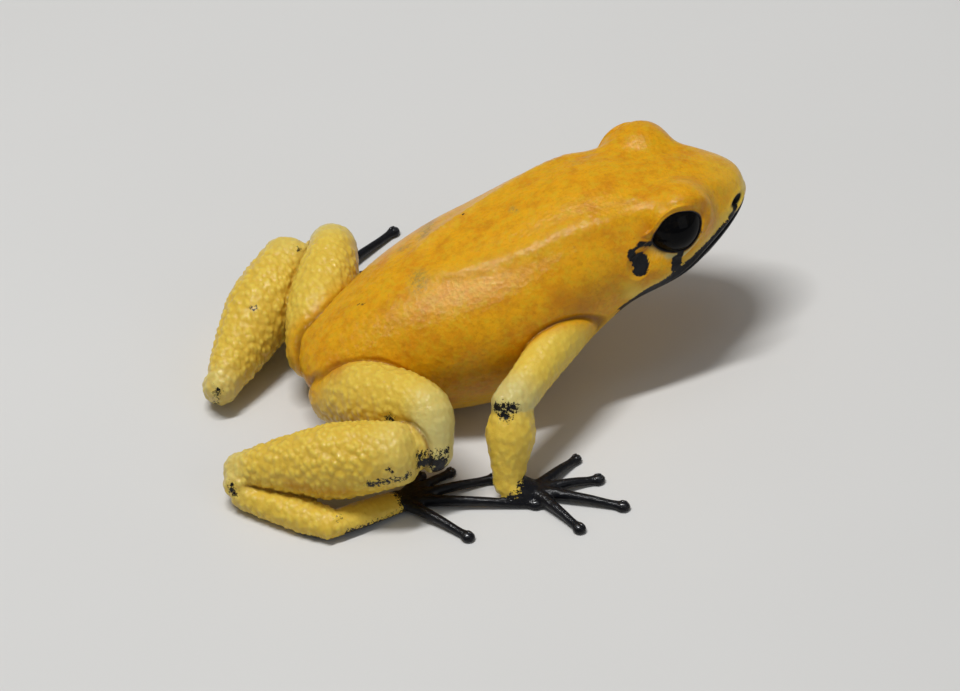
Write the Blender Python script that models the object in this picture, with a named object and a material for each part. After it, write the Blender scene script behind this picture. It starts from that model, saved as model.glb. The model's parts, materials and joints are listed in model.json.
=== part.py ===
"""Golden poison frog, life size, sitting on a flat floor with its forequarters raised.

Sizes below are millimetres; place_nodes() turns the finished solids into metres.
X points forward, from vent to snout, Y to the frog's left and Z up. The floor is Z = 0.
The flesh is made as a few closed forms (trunk, limb segments, hands, feet), each blended from
simple shapes, and each form is then cut clear of the forms it grows from by a thin even gap.
"""

import math

import bmesh
import bpy
import numpy as np
from mathutils import Matrix, Vector

MILLIMETRE = 0.001
GAP = 0.3  # clear space between neighbouring nodes
SIDES = {"right": -1, "left": 1}

# Trunk and head
SNOUT_VENT = 47.0
VENT_HEIGHT = 4.9
TRUNK_PITCH = math.radians(18.5)
HEAD_PITCH = math.radians(-3.0)
NECK_BEND = (26.0, 35.0)  # stretch of the spine over which the trunk's pitch turns into the head's
HEAD_CUT = 31.6  # along the spine, where the head node meets the torso
JAW_CUT = 33.4  # the lower jaw reaches back to here, below the mouth line

# Cross-sections along the spine: place, half width, height above, depth below, how far below the
# spine the widest line lies, squareness (0 is an ellipse), narrowing from the widest line to the top
TRUNK_SECTIONS = [
    (0.6, 1.4, 0.8, 1.8, 0.2, 0.0, 0.0),
    (1.6, 2.9, 2.0, 3.1, 0.4, 0.0, 0.0),
    (4.0, 5.0, 3.3, 4.8, 0.6, 0.05, 0.0),
    (8.0, 6.9, 4.3, 7.6, 1.1, 0.06, 0.0),
    (13.0, 8.9, 5.0, 9.7, 1.9, 0.08, 0.06),
    (18.0, 10.0, 4.9, 10.6, 2.2, 0.10, 0.10),
    (23.0, 9.8, 4.6, 10.0, 2.1, 0.10, 0.10),
    (27.5, 9.1, 4.7, 8.7, 1.7, 0.12, 0.10),
    (31.5, 8.6, 4.8, 7.3, 1.6, 0.12, 0.10),
    (35.0, 8.3, 4.6, 6.2, 1.9, 0.16, 0.16),
    (38.5, 7.5, 4.2, 5.1, 1.7, 0.18, 0.24),
    (41.5, 6.0, 3.7, 4.0, 1.3, 0.18, 0.26),
    (44.2, 4.3, 3.0, 3.0, 0.9, 0.18, 0.22),
    (46.0, 2.8, 2.0, 2.2, 0.6, 0.10, 0.12),
    (46.8, 1.5, 1.1, 1.3, 0.3, 0.0, 0.0),
]
BELLY_SQUARENESS = 0.1  # added below the widest line, for a belly that sags
RING_POINTS = 36
RING_SPACING = 0.8
BODY_VOXEL = 0.34
BODY_SMOOTHING = 9
TRUNK_FACES = 3000

# Flesh over the shoulders and hips: centre as place, distance from the midline, height; and radii
MUSCLES = {
    "shoulder": ((27.0, 5.9, -2.2), (4.4, 3.3, 3.6)),
    "hip": ((4.6, 2.9, -0.5), (4.0, 2.9, 3.0)),
}

# Head features: place along the spine, distance from the midline, height above the spine
EYE = (37.6, 5.0, 1.45)
EYEBALL_RADIUS = 2.85
LID_WALL = 0.6
BROW_STRETCH = 1.12
CANTHUS = [(38.5, 3.7, 2.7), (42.0, 2.9, 2.2), (45.0, 1.8, 1.1)]  # ridge from brow to snout
CANTHUS_GIRTH = [(0, 1.7, 1.5), (0.5, 1.35, 1.2), (1, 1.1, 1.1)]
EYE_OPENING = (2.75, 1.85)  # half length and half height of the gap between the lids
EYE_TURN = (math.radians(10), math.radians(14))  # gaze turned forward, and up
NOSTRIL = (45.0, 3.0, 0.6)
NOSTRIL_RADIUS = 0.38
TYMPANUM = (33.4, 7.6, -0.3)
TYMPANUM_RADIUS = 1.35
TYMPANUM_DEPTH = 0.9
MOUTH_LINE = [(47.6, -0.6), (44.5, -0.75), (41.0, -1.35), (37.5, -2.5), (34.0, -3.6), (31.0, -4.4)]
MOUTH_GAP = 0.3
JAW_STEPS = 12

# Limb joints of the right side and of the left, in the floor's frame
HIP = (3.0, 3.6, 5.0)
SHOULDER = (25.3, 6.4, 9.3)
LEG = {
    "right": {
        "knee": (8.6, -15.6, 7.6),
        "heel": (-8.2, -7.4, 3.2),
        "instep": (-2.4, -16.4, 1.15),
        "ball": (4.2, -16.6, 0.68),
        "toes": -17.0,
    },
    "left": {
        "knee": (8.2, 15.2, 7.4),
        "heel": (-6.3, 4.9, 2.7),
        "instep": (-0.7, 14.4, 1.15),
        "ball": (6.0, 17.0, 0.68),
        "toes": 0.0,
    },
}
ARM = {
    "right": {"elbow": (15.4, -14.4, 7.8), "wrist": (14.2, -18.3, 1.5), "fingers": -24.0},
    "left": {"elbow": (17.4, 12.7, 7.0), "wrist": (20.8, 14.9, 1.5), "fingers": 12.0},
}

# Limb girths as (share of the length, half height, half width)
THIGH_GIRTH = [(0.0, 3.5, 3.3), (0.3, 3.8, 3.6), (0.6, 3.5, 3.3), (0.85, 2.9, 2.8), (1.0, 2.4, 2.4)]
SHANK_GIRTH = [(0.0, 2.0, 2.1), (0.2, 2.9, 2.9), (0.45, 3.4, 3.4), (0.75, 2.8, 2.7), (1.0, 2.0, 1.9)]
TARSUS_GIRTH = [(0.0, 1.4, 1.5), (0.35, 1.6, 1.8), (0.7, 1.35, 1.55), (1.0, 1.15, 1.5)]
UPPER_ARM_GIRTH = [(0.0, 2.6, 2.6), (0.3, 2.3, 2.3), (0.7, 1.9, 1.9), (1.0, 1.85, 1.85)]
FOREARM_GIRTH = [(0.0, 1.75, 1.75), (0.35, 2.2, 2.2), (0.7, 1.65, 1.7), (1.0, 1.15, 1.35)]
LIMB_SIDES = 12
LIMB_RINGS = 9

# Toes and fingers as (turn from the middle of the foot or hand in degrees, length)
TOES = [(60.0, 4.0), (38.0, 6.0), (15.0, 9.0), (-8.0, 12.5), (-42.0, 8.0)]
FINGERS = [(52.0, 6.0), (18.0, 6.2), (-12.0, 8.6), (-46.0, 6.6)]
PALM_LENGTH = 2.2
PALM_HEIGHT = 0.72  # of the palm's middle, where the fingers spread
DIGIT_ROOT = 0.85  # how far from the middle of the palm or sole a digit starts
DIGIT_RADIUS = 0.46
DISC_HALF_WIDTH = 0.66
DISC_HALF_LENGTH = 0.75
DISC_HEIGHT = 0.62
DIGIT_SIDES = 6


def smooth_step(x):
    x = min(max(x, 0.0), 1.0)
    return x * x * (3 - 2 * x)


def interpolate(table, at):
    """Smooth curve through the rows of a table whose first column rises or falls steadily."""
    keys = [row[0] for row in table]
    if keys[0] > keys[-1]:
        return interpolate(table[::-1], at)
    at = min(max(at, keys[0]), keys[-1])
    i = min(max(sum(k <= at for k in keys) - 1, 0), len(keys) - 2)
    span = keys[i + 1] - keys[i]
    t = (at - keys[i]) / span
    values = []
    for column in range(1, len(table[0])):
        y = [row[column] for row in table]

        def slope(j):
            a, b = max(j - 1, 0), min(j + 1, len(keys) - 1)
            return (y[b] - y[a]) / (keys[b] - keys[a])

        m0, m1 = slope(i) * span, slope(i + 1) * span
        h = t * t * (3 - 2 * t)
        values.append(
            y[i] * (1 - h) + y[i + 1] * h + m0 * t * (1 - t) ** 2 - m1 * t * t * (1 - t)
        )
    return values


def pitch_at(place):
    """Angle of the spine above the floor at a distance along it from the vent."""
    start, end = NECK_BEND
    return TRUNK_PITCH + (HEAD_PITCH - TRUNK_PITCH) * smooth_step((place - start) / (end - start))


def spine_frame(place):
    """Matrix whose X runs along the spine, Y to the left and Z to the back's side."""
    steps = 60
    x, z = 0.0, VENT_HEIGHT
    for i in range(steps):
        middle = pitch_at(place * (i + 0.5) / steps)
        x += math.cos(middle) * place / steps
        z += math.sin(middle) * place / steps
    return Matrix.Translation((x, 0, z)) @ Matrix.Rotation(-pitch_at(place), 4, "Y")


def on_body(feature, side=0):
    """World point of a feature given as place along the spine, distance from the midline, height."""
    place, across, height = feature
    return spine_frame(place) @ Vector((0, side * across, height))


def new_object(name, bm):
    mesh = bpy.data.meshes.new(name)
    bm.to_mesh(mesh)
    bm.free()
    obj = bpy.data.objects.new(name, mesh)
    bpy.context.scene.collection.objects.link(obj)
    return obj


def loft(name, rings):
    """Closed body through rings of points, with a face at each end."""
    bm = bmesh.new()
    loops = [[bm.verts.new(point) for point in ring] for ring in rings]
    count = len(rings[0])
    for lower, upper in zip(loops, loops[1:]):
        for i in range(count):
            j = (i + 1) % count
            bm.faces.new((lower[i], lower[j], upper[j], upper[i]))
    bm.faces.new(loops[0][::-1])
    bm.faces.new(loops[-1])
    bmesh.ops.recalc_face_normals(bm, faces=bm.faces)
    return new_object(name, bm)


def ellipsoid(name, centre, radii, turn=None, divisions=3):
    bm = bmesh.new()
    bmesh.ops.create_icosphere(bm, subdivisions=divisions, radius=1.0)
    place = Matrix.Translation(centre) @ (turn or Matrix.Identity(4)) @ Matrix.Diagonal((*radii, 1))
    bmesh.ops.transform(bm, matrix=place, verts=bm.verts)
    return new_object(name, bm)


def tube(name, joints, girth, sides=LIMB_SIDES, rings=LIMB_RINGS, end_caps=(True, True)):
    """Round-ended body along a smooth path; girth rows are share, half height, half width."""
    joints = [Vector(j) for j in joints]
    lengths = [0.0]
    for a, b in zip(joints, joints[1:]):
        lengths.append(lengths[-1] + (b - a).length)
    total = lengths[-1]
    table = [(length, *joint) for length, joint in zip(lengths, joints)]

    def point(share):
        return Vector(interpolate(table, share * total))

    def tangent(share):
        near = 0.02
        return (point(min(share + near, 1)) - point(max(share - near, 0))).normalized()

    shares = [i / rings for i in range(rings + 1)]
    first, last = interpolate(girth, 0), interpolate(girth, 1)
    stations = []
    for turn in (65, 30):
        angle = math.radians(turn)
        stations.append((0.0, -math.sin(angle) * first[0] * end_caps[0], math.cos(angle)))
    stations += [(share, 0.0, 1.0) for share in shares]
    for turn in (30, 65):
        angle = math.radians(turn)
        stations.append((1.0, math.sin(angle) * last[0] * end_caps[1], math.cos(angle)))
    result = []
    for share, beyond, shrink in stations:
        along = tangent(share)
        side = along.cross(Vector((0, 0, 1)))
        if side.length < 0.2:
            side = along.cross(Vector((1, 0, 0)))
        side.normalize()
        up = side.cross(along)
        half_height, half_width = interpolate(girth, share)
        centre = point(share) + along * beyond
        result.append(
            [
                centre
                + up * (math.sin(a) * half_height * shrink)
                + side * (math.cos(a) * half_width * shrink)
                for a in (2 * math.pi * i / sides for i in range(sides))
            ]
        )
    return loft(name, result)


def apply_modifiers(obj):
    bpy.context.view_layer.update()
    graph = bpy.context.evaluated_depsgraph_get()
    mesh = bpy.data.meshes.new_from_object(obj.evaluated_get(graph), depsgraph=graph)
    obj.modifiers.clear()
    obj.data = mesh
    return obj


def join_shells(name, objects):
    """One object holding the meshes of several, not yet fused."""
    bm = bmesh.new()
    for obj in objects:
        bm.from_mesh(obj.data)
        bpy.data.objects.remove(obj)
    return new_object(name, bm)


def blend(obj, voxel, smoothing, faces):
    """Fuses overlapping shells into one flowing skin of about so many triangles."""
    remesh = obj.modifiers.new("fuse", "REMESH")
    remesh.mode = "VOXEL"
    remesh.voxel_size = voxel
    smooth = obj.modifiers.new("smooth", "SMOOTH")
    smooth.factor = 0.5
    smooth.iterations = smoothing
    apply_modifiers(obj)
    obj.data.calc_loop_triangles()
    share = faces / len(obj.data.loop_triangles)
    if share < 1:
        decimate = obj.modifiers.new("simplify", "DECIMATE")
        decimate.ratio = share
        decimate.use_collapse_triangulate = True
        apply_modifiers(obj)
    return obj


def boolean(obj, operand, operation="DIFFERENCE"):
    modifier = obj.modifiers.new("cut", "BOOLEAN")
    modifier.operation = operation
    modifier.solver = "EXACT"
    modifier.object = operand
    return apply_modifiers(obj)


def union(obj, pieces):
    """Fuses a list of closed pieces into obj in one Boolean."""
    group = bpy.data.collections.new("pieces")
    for piece in pieces:
        group.objects.link(piece)
    modifier = obj.modifiers.new("fuse", "BOOLEAN")
    modifier.operation = "UNION"
    modifier.solver = "EXACT"
    modifier.operand_type = "COLLECTION"
    modifier.collection = group
    apply_modifiers(obj)
    for piece in pieces:
        bpy.data.objects.remove(piece)
    bpy.data.collections.remove(group)
    return obj


def copy_of(obj, name):
    twin = bpy.data.objects.new(name, obj.data.copy())
    bpy.context.scene.collection.objects.link(twin)
    return twin


def swollen(obj, by=GAP):
    """Copy of a body grown evenly outwards, to cut its neighbours clear of it."""
    twin = copy_of(obj, obj.name + "_swollen")
    swell = twin.modifiers.new("swell", "DISPLACE")
    swell.strength = by
    swell.mid_level = 0.0
    return apply_modifiers(twin)


def largest_body(obj):
    """Keeps only the largest closed surface of a mesh."""
    bm = bmesh.new()
    bm.from_mesh(obj.data)
    bm.faces.ensure_lookup_table()
    todo = set(bm.faces)
    groups = []
    while todo:
        start = todo.pop()
        group, edge_of_search = [start], [start]
        while edge_of_search:
            face = edge_of_search.pop()
            for edge in face.edges:
                for other in edge.link_faces:
                    if other in todo:
                        todo.remove(other)
                        group.append(other)
                        edge_of_search.append(other)
        groups.append(group)
    groups.sort(key=lambda g: sum(f.calc_area() for f in g))
    for group in groups[:-1]:
        bmesh.ops.delete(bm, geom=group, context="FACES")
    loose = [v for v in bm.verts if not v.link_faces]
    bmesh.ops.delete(bm, geom=loose, context="VERTS")
    bm.to_mesh(obj.data)
    bm.free()
    return obj


def cut_clear(obj, others):
    """Trims obj so that it keeps the gap to each other body that it would meet."""
    for other in others:
        cutter = swollen(other)
        boolean(obj, cutter)
        bpy.data.objects.remove(cutter)
    return largest_body(obj)


def keep_beyond(obj, point, direction):
    """Cuts a closed body flat and keeps the side that direction points to."""
    bm = bmesh.new()
    bm.from_mesh(obj.data)
    geometry = list(bm.verts) + list(bm.edges) + list(bm.faces)
    bmesh.ops.bisect_plane(
        bm, geom=geometry, dist=1e-5, plane_co=point, plane_no=direction, clear_inner=True
    )
    rim = [edge for edge in bm.edges if edge.is_boundary]
    bmesh.ops.holes_fill(bm, edges=rim, sides=0)
    bmesh.ops.triangulate(bm, faces=[f for f in bm.faces if len(f.verts) > 4])
    bmesh.ops.recalc_face_normals(bm, faces=bm.faces)
    bm.to_mesh(obj.data)
    bm.free()
    return obj


def trunk_ring(place):
    """Cross-section of the trunk, wider low down where the section narrows to the top."""
    half_width, above, below, drop, squareness, narrowing = interpolate(TRUNK_SECTIONS, place)
    frame = spine_frame(place)
    ring = []
    for i in range(RING_POINTS):
        angle = 2 * math.pi * i / RING_POINTS
        power = 1 - squareness - (BELLY_SQUARENESS if math.sin(angle) < 0 else 0)
        up = math.copysign(abs(math.sin(angle)) ** power, math.sin(angle))
        across = math.copysign(abs(math.cos(angle)) ** power, math.cos(angle)) * half_width
        if up > 0:
            across *= 1 - narrowing * up * up
        height = up * (above + drop if up > 0 else below - drop) - drop
        ring.append(frame @ Vector((0, across, height)))
    return ring


def make_trunk():
    """Head and torso in one form, with the brows over the eyes, shoulders and hips."""
    start, end = TRUNK_SECTIONS[0][0], TRUNK_SECTIONS[-1][0]
    count = round((end - start) / RING_SPACING)
    shells = [loft("trunk", [trunk_ring(start + (end - start) * i / count) for i in range(count + 1)])]
    for side in SIDES.values():
        head_turn = spine_frame(EYE[0]).to_3x3().to_4x4()
        radius = EYEBALL_RADIUS + GAP + LID_WALL
        brow_radii = (radius * BROW_STRETCH, radius, radius)
        shells.append(ellipsoid("brow", on_body(EYE, side), brow_radii, head_turn))
        canthus = [on_body(point, side) for point in CANTHUS]
        shells.append(tube("canthus", canthus, CANTHUS_GIRTH))
        for name, (centre, radii) in MUSCLES.items():
            shells.append(ellipsoid(name, on_body(centre, side), radii))
    trunk = join_shells("trunk", shells)
    return blend(trunk, BODY_VOXEL, BODY_SMOOTHING, TRUNK_FACES)


def eye_direction(side):
    forward, up = EYE_TURN
    gaze = Vector((math.sin(forward), side * math.cos(forward) * math.cos(up), math.sin(up)))
    return (spine_frame(EYE[0]).to_3x3() @ gaze).normalized()


def eye_cutters(side):
    """Socket of the eyeball, and the almond opening between the lids."""
    centre = on_body(EYE, side)
    socket = ellipsoid("socket", centre, (EYEBALL_RADIUS + GAP,) * 3)
    outward = eye_direction(side)
    along = spine_frame(EYE[0]).to_3x3() @ Vector((1, 0, 0))
    along = (along - outward * along.dot(outward)).normalized()
    upward = outward.cross(along) * -side
    rings = []
    for reach in (EYEBALL_RADIUS * 0.35, EYEBALL_RADIUS + 3.0):
        flare = 1.0 + 0.05 * reach
        ring = []
        for i in range(28):
            angle = 2 * math.pi * i / 28
            length, height = EYE_OPENING
            ring.append(
                centre
                + outward * reach
                + along * (math.cos(angle) * length * flare)
                + upward * (math.sin(angle) * height * flare)
            )
        rings.append(ring)
    return [socket, loft("opening", rings)]


def below_mouth(name, back_end, height_change, reach):
    """Closed space under the mouth line, from ahead of the snout to back_end."""
    rings = []
    front_end = SNOUT_VENT + 3
    for i in range(JAW_STEPS + 1):
        place = front_end + (back_end - front_end) * i / JAW_STEPS
        (height,) = interpolate(MOUTH_LINE, place)
        top = height + height_change
        corners = ((-reach, -reach), (reach, -reach), (reach, top), (-reach, top))
        rings.append([spine_frame(place) @ Vector((0, y, z)) for y, z in corners])
    return loft(name, rings)


def split_head(trunk):
    """Head, lower jaw and torso from the one trunk form."""
    neck = spine_frame(HEAD_CUT)
    forward = neck.to_3x3() @ Vector((1, 0, 0))
    head = keep_beyond(copy_of(trunk, "head"), neck.translation + forward * GAP / 2, forward)
    torso = keep_beyond(copy_of(trunk, "torso"), neck.translation - forward * GAP / 2, -forward)
    # the jaw is what lies below the mouth line and ahead of its hinge
    jaw_space = below_mouth("jaw_space", JAW_CUT, -MOUTH_GAP / 2, 14)
    jaw_clearance = below_mouth("jaw_clearance", JAW_CUT - GAP, MOUTH_GAP / 2, 15)
    jaw = boolean(copy_of(head, "lower_jaw"), jaw_space, "INTERSECT")
    boolean(head, jaw_clearance)
    for cutter in (jaw_space, jaw_clearance):
        bpy.data.objects.remove(cutter)
    return largest_body(head), largest_body(jaw), torso


def ear_plug(name, side, radius, depth):
    """Short round bar standing on the ear's place, reaching so deep into the head."""
    centre = on_body(TYMPANUM, side)
    outward = (spine_frame(TYMPANUM[0]).to_3x3() @ Vector((-0.1, side, 0.1))).normalized()
    girth = [(0, radius, radius), (1, radius, radius)]
    ends = [centre - outward * depth, centre + outward * 3]
    return tube(name, ends, girth, sides=20, rings=2, end_caps=(False, False))


def make_head_features(head, whole):
    """Eye sockets with lids, nostrils and eardrums; returns the eyes' and eardrums' own nodes."""
    nodes = []
    for name, side in SIDES.items():
        for cutter in eye_cutters(side):
            boolean(head, cutter)
            bpy.data.objects.remove(cutter)
        nodes.append(ellipsoid("eye_" + name, on_body(EYE, side), (EYEBALL_RADIUS,) * 3))
        nostril = on_body(NOSTRIL, side)
        outward = (spine_frame(NOSTRIL[0]).to_3x3() @ Vector((0.5, side, 0.25))).normalized()
        pit = tube(
            "nostril",
            [nostril - outward * 0.75, nostril + outward * 1.5],
            [(0, NOSTRIL_RADIUS * 0.7, NOSTRIL_RADIUS * 0.7), (1, NOSTRIL_RADIUS, NOSTRIL_RADIUS * 1.3)],
            sides=8,
            rings=2,
        )
        boolean(head, pit)
        bpy.data.objects.remove(pit)
        # the eardrum: a thin disc let into a round recess of the head
        recess = ear_plug("recess", side, TYMPANUM_RADIUS + GAP, TYMPANUM_DEPTH + GAP)
        boolean(head, recess)
        bpy.data.objects.remove(recess)
        drum = ear_plug("tympanum_" + name, side, TYMPANUM_RADIUS, TYMPANUM_DEPTH)
        boolean(drum, whole, "INTERSECT")
        nodes.append(drum)
    largest_body(head)
    return nodes


def digit(name, root, heading, length, disc_scale=1.0):
    """A toe or finger lying on the floor, ending in its adhesive disc."""
    along = Vector((math.cos(heading), math.sin(heading), 0))
    root = Vector(root)
    reach = root + along * length
    low = DIGIT_RADIUS * 0.88
    points = [
        root,
        Vector((*(root + along * length * 0.33).xy, low + 0.30)),
        Vector((*(root + along * length * 0.62).xy, low + 0.22)),
        Vector((*(root + along * length * 0.86).xy, low)),
        Vector((*reach.xy, low)),
    ]
    girth = [(0, 0.62, 0.66), (0.3, 0.52, 0.54), (0.7, 0.42, 0.44), (1, 0.40, 0.44)]
    finger = tube(name, points, girth, sides=DIGIT_SIDES, rings=5)
    turn = Matrix.Rotation(heading, 4, "Z")
    disc = ellipsoid(
        name + "_disc",
        Vector((*reach.xy, low - 0.08)),
        (DISC_HALF_LENGTH * disc_scale, DISC_HALF_WIDTH * disc_scale, DISC_HEIGHT * 0.75),
        turn,
        divisions=2,
    )
    return [finger, disc]


def cut_flat(obj):
    """Small flats where the part stands on the floor."""
    return keep_beyond(obj, Vector((0, 0, 0)), Vector((0, 0, 1)))


def make_digits(name, root, heading, rows):
    """The toes or fingers that spread from the end of a sole or palm."""
    pieces = []
    for i, (turn, length) in enumerate(rows):
        angle = heading + math.radians(turn)
        start = root + Vector((math.cos(angle), math.sin(angle), 0)) * DIGIT_ROOT
        disc_scale = 1.0 if length > 6 else 0.85
        pieces += digit(f"{name}_{i}", start, angle, length - DIGIT_ROOT, disc_scale)
    return pieces


def make_leg(name, side, torso):
    leg = LEG[name]
    hip = Vector((HIP[0], side * HIP[1], HIP[2]))
    knee, heel = Vector(leg["knee"]), Vector(leg["heel"])
    instep, ball = Vector(leg["instep"]), Vector(leg["ball"])
    thigh = tube("thigh_" + name, [hip, hip.lerp(knee, 0.5) + Vector((0, 0, 0.4)), knee], THIGH_GIRTH)
    cut_clear(thigh, [torso])
    shank_top = knee + Vector((-0.8, side * 0.1, -2.1))
    bulge = shank_top.lerp(heel, 0.45) + Vector((0, side * 0.7, 0.2))
    shank = tube("shank_" + name, [shank_top, bulge, heel], SHANK_GIRTH)
    cut_clear(shank, [torso, thigh])
    tarsus_top = heel + Vector((0.2, side * 0.6, -0.7))
    tarsus = tube("tarsus_" + name, [tarsus_top, tarsus_top.lerp(instep, 0.5), instep], TARSUS_GIRTH)
    cut_clear(tarsus, [shank])
    heading = math.atan2(ball.y - instep.y, ball.x - instep.x)
    sole_girth = [(0, 1.1, 1.35), (0.5, 0.95, 1.5), (1, 0.75, 1.35)]
    foot = tube("foot_" + name, [instep, instep.lerp(ball, 0.5), ball], sole_girth, rings=6)
    toe_heading = heading + math.radians(leg["toes"])
    rows = [(-side * turn, length) for turn, length in TOES]
    union(foot, make_digits("toe", ball, toe_heading, rows))
    largest_body(foot)
    cut_clear(foot, [tarsus, shank])
    return [thigh, shank, cut_flat(tarsus), cut_flat(foot)]


def make_arm(name, side, torso):
    arm = ARM[name]
    shoulder = Vector((SHOULDER[0], side * SHOULDER[1], SHOULDER[2]))
    elbow, wrist = Vector(arm["elbow"]), Vector(arm["wrist"])
    middle = shoulder.lerp(elbow, 0.5) + Vector((0, side * 0.3, 0.3))
    upper = tube("upper_arm_" + name, [shoulder, middle, elbow], UPPER_ARM_GIRTH)
    cut_clear(upper, [torso])
    below_elbow = elbow + Vector((0, 0, -0.9))
    forearm = tube("forearm_" + name, [below_elbow, elbow.lerp(wrist, 0.5), wrist], FOREARM_GIRTH)
    cut_clear(forearm, [upper, torso])
    heading = math.radians(arm["fingers"])
    along = Vector((math.cos(heading), math.sin(heading), 0))
    palm_girth = [(0, 1.15, 1.3), (0.5, 1.0, 1.45), (1, 0.8, 1.3)]
    palm_end = Vector((*(wrist + along * PALM_LENGTH).xy, PALM_HEIGHT))
    hand = tube("hand_" + name, [wrist, wrist.lerp(palm_end, 0.5), palm_end], palm_girth, rings=5)
    rows = [(-side * turn, length) for turn, length in FINGERS]
    union(hand, make_digits("finger", palm_end, heading, rows))
    largest_body(hand)
    cut_clear(hand, [forearm])
    return [upper, forearm, cut_flat(hand)]


def colour_of(name):
    golden, lemon, black = (0.86, 0.46, 0.03), (0.80, 0.56, 0.08), (0.012, 0.012, 0.014)
    if name.startswith(("eye", "tympanum")):
        return "gloss_black", black, 0.08
    if name.startswith(("foot", "hand")):
        return "black_skin", black, 0.35
    if name.startswith(("thigh", "shank", "tarsus", "upper_arm", "forearm")):
        return "lemon_skin", lemon, 0.42
    return "golden_skin", golden, 0.38


def paint(obj):
    label, colour, roughness = colour_of(obj.name)
    material = bpy.data.materials.get(label)
    if material is None:
        material = bpy.data.materials.new(label)
        material.use_nodes = True
        shader = material.node_tree.nodes["Principled BSDF"]
        shader.inputs["Base Color"].default_value = (*colour, 1)
        shader.inputs["Roughness"].default_value = roughness
        shader.inputs["Metallic"].default_value = 0.0
    obj.data.materials.clear()
    obj.data.materials.append(material)


def place_nodes(nodes):
    """Puts the origin below the middle of the whole frog, and turns millimetres into metres."""
    corners = []
    for node in nodes:
        places = np.empty(len(node.data.vertices) * 3)
        node.data.vertices.foreach_get("co", places)
        places = places.reshape(-1, 3)
        corners += [places.min(0), places.max(0)]
    low, high = np.min(corners, 0), np.max(corners, 0)
    middle = Vector(((low[0] + high[0]) / 2, (low[1] + high[1]) / 2, low[2]))
    print("frog spans", (high - low).round(2), "mm; origin moved by", [round(v, 4) for v in middle])
    for node in nodes:
        box = [Vector(corner) for corner in node.bound_box]
        root = sum(box, Vector()) / 8
        node.data.transform(Matrix.Translation(-root))
        node.data.transform(Matrix.Scale(MILLIMETRE, 4))
        node.location = (root - middle) * MILLIMETRE
        node.data.shade_smooth()
        paint(node)


def main():
    for obj in list(bpy.data.objects):
        bpy.data.objects.remove(obj)
    trunk = make_trunk()
    head, jaw, torso = split_head(trunk)
    nodes = [head, jaw, torso] + make_head_features(head, trunk)
    bpy.data.objects.remove(trunk)
    cut_flat(torso)
    for name, side in SIDES.items():
        nodes += make_leg(name, side, torso)
        nodes += make_arm(name, side, torso)
    for node in nodes:
        node.data.calc_loop_triangles()
        print(node.name, len(node.data.loop_triangles), "triangles")
    place_nodes(nodes)


main()
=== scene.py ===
# %% [markdown]
# # A golden poison frog, life size
# A museum model of a small tropical frog, 47 mm from snout to vent, sitting with its forequarters
# raised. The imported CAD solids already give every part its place. Here they get one living skin,
# wet eyes and the small pads on the fingertips, so we begin by loading them as a fixed frame.
# Sizes below are millimetres, as a frog maker would measure, and become metres at the very end.

# %% Load the frame and note its box
import json
import math

import bmesh
import bpy
import numpy as np
from mathutils import Matrix, Vector
from mathutils.bvhtree import BVHTree

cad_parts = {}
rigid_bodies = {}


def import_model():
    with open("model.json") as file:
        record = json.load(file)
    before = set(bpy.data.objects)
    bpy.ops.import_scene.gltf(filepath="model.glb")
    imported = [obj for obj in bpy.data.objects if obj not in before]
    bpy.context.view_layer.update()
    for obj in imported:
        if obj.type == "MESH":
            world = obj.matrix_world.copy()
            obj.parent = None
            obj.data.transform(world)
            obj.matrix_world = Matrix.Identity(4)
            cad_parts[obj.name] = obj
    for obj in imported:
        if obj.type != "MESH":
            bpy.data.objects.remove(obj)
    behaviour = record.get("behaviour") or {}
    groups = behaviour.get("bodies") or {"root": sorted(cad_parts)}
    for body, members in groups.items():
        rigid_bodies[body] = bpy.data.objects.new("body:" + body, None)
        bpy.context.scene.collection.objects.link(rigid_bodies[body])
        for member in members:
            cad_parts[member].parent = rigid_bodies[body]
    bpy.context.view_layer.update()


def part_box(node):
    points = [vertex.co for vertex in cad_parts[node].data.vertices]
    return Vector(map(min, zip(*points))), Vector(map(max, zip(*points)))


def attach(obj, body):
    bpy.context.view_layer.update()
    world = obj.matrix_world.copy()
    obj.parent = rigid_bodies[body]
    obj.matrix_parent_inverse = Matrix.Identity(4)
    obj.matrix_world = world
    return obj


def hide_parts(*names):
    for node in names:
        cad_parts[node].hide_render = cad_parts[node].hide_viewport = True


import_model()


MM = 0.001
SIDES = {"right": -1, "left": 1}

# %% [markdown]
# ## The spine as a ruler
# A frog's trunk has no straight edge to measure from, but its spine does the job. Every feature of
# head and body is given as a place along the spine, a distance from the midline and a height above
# it. The spine climbs with the raised forequarters and levels off at the neck, so we walk along it
# in small steps and remember a turned frame at each place.

# %% The spine's climb
VENT_HEIGHT = 4.9
TRUNK_PITCH = math.radians(18.5)
HEAD_PITCH = math.radians(-3.0)
NECK_BEND = (26.0, 35.0)


def ease(x):
    """Soft ramp from 0 to 1, for numbers and arrays alike."""
    x = np.clip(x, 0.0, 1.0)
    return x * x * (3 - 2 * x)


def read_table(table, at):
    """Smooth curve through the rows of a table whose first column rises."""
    keys = [row[0] for row in table]
    at = min(max(at, keys[0]), keys[-1])
    i = min(max(sum(k <= at for k in keys) - 1, 0), len(keys) - 2)
    span = keys[i + 1] - keys[i]
    t = (at - keys[i]) / span
    values = []
    for column in range(1, len(table[0])):
        y = [row[column] for row in table]

        def slope(j):
            a, b = max(j - 1, 0), min(j + 1, len(keys) - 1)
            return (y[b] - y[a]) / (keys[b] - keys[a])

        m0, m1 = slope(i) * span, slope(i + 1) * span
        h = t * t * (3 - 2 * t)
        bend = m0 * t * (1 - t) ** 2 - m1 * t * t * (1 - t)
        values.append(y[i] * (1 - h) + y[i + 1] * h + bend)
    return values


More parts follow.
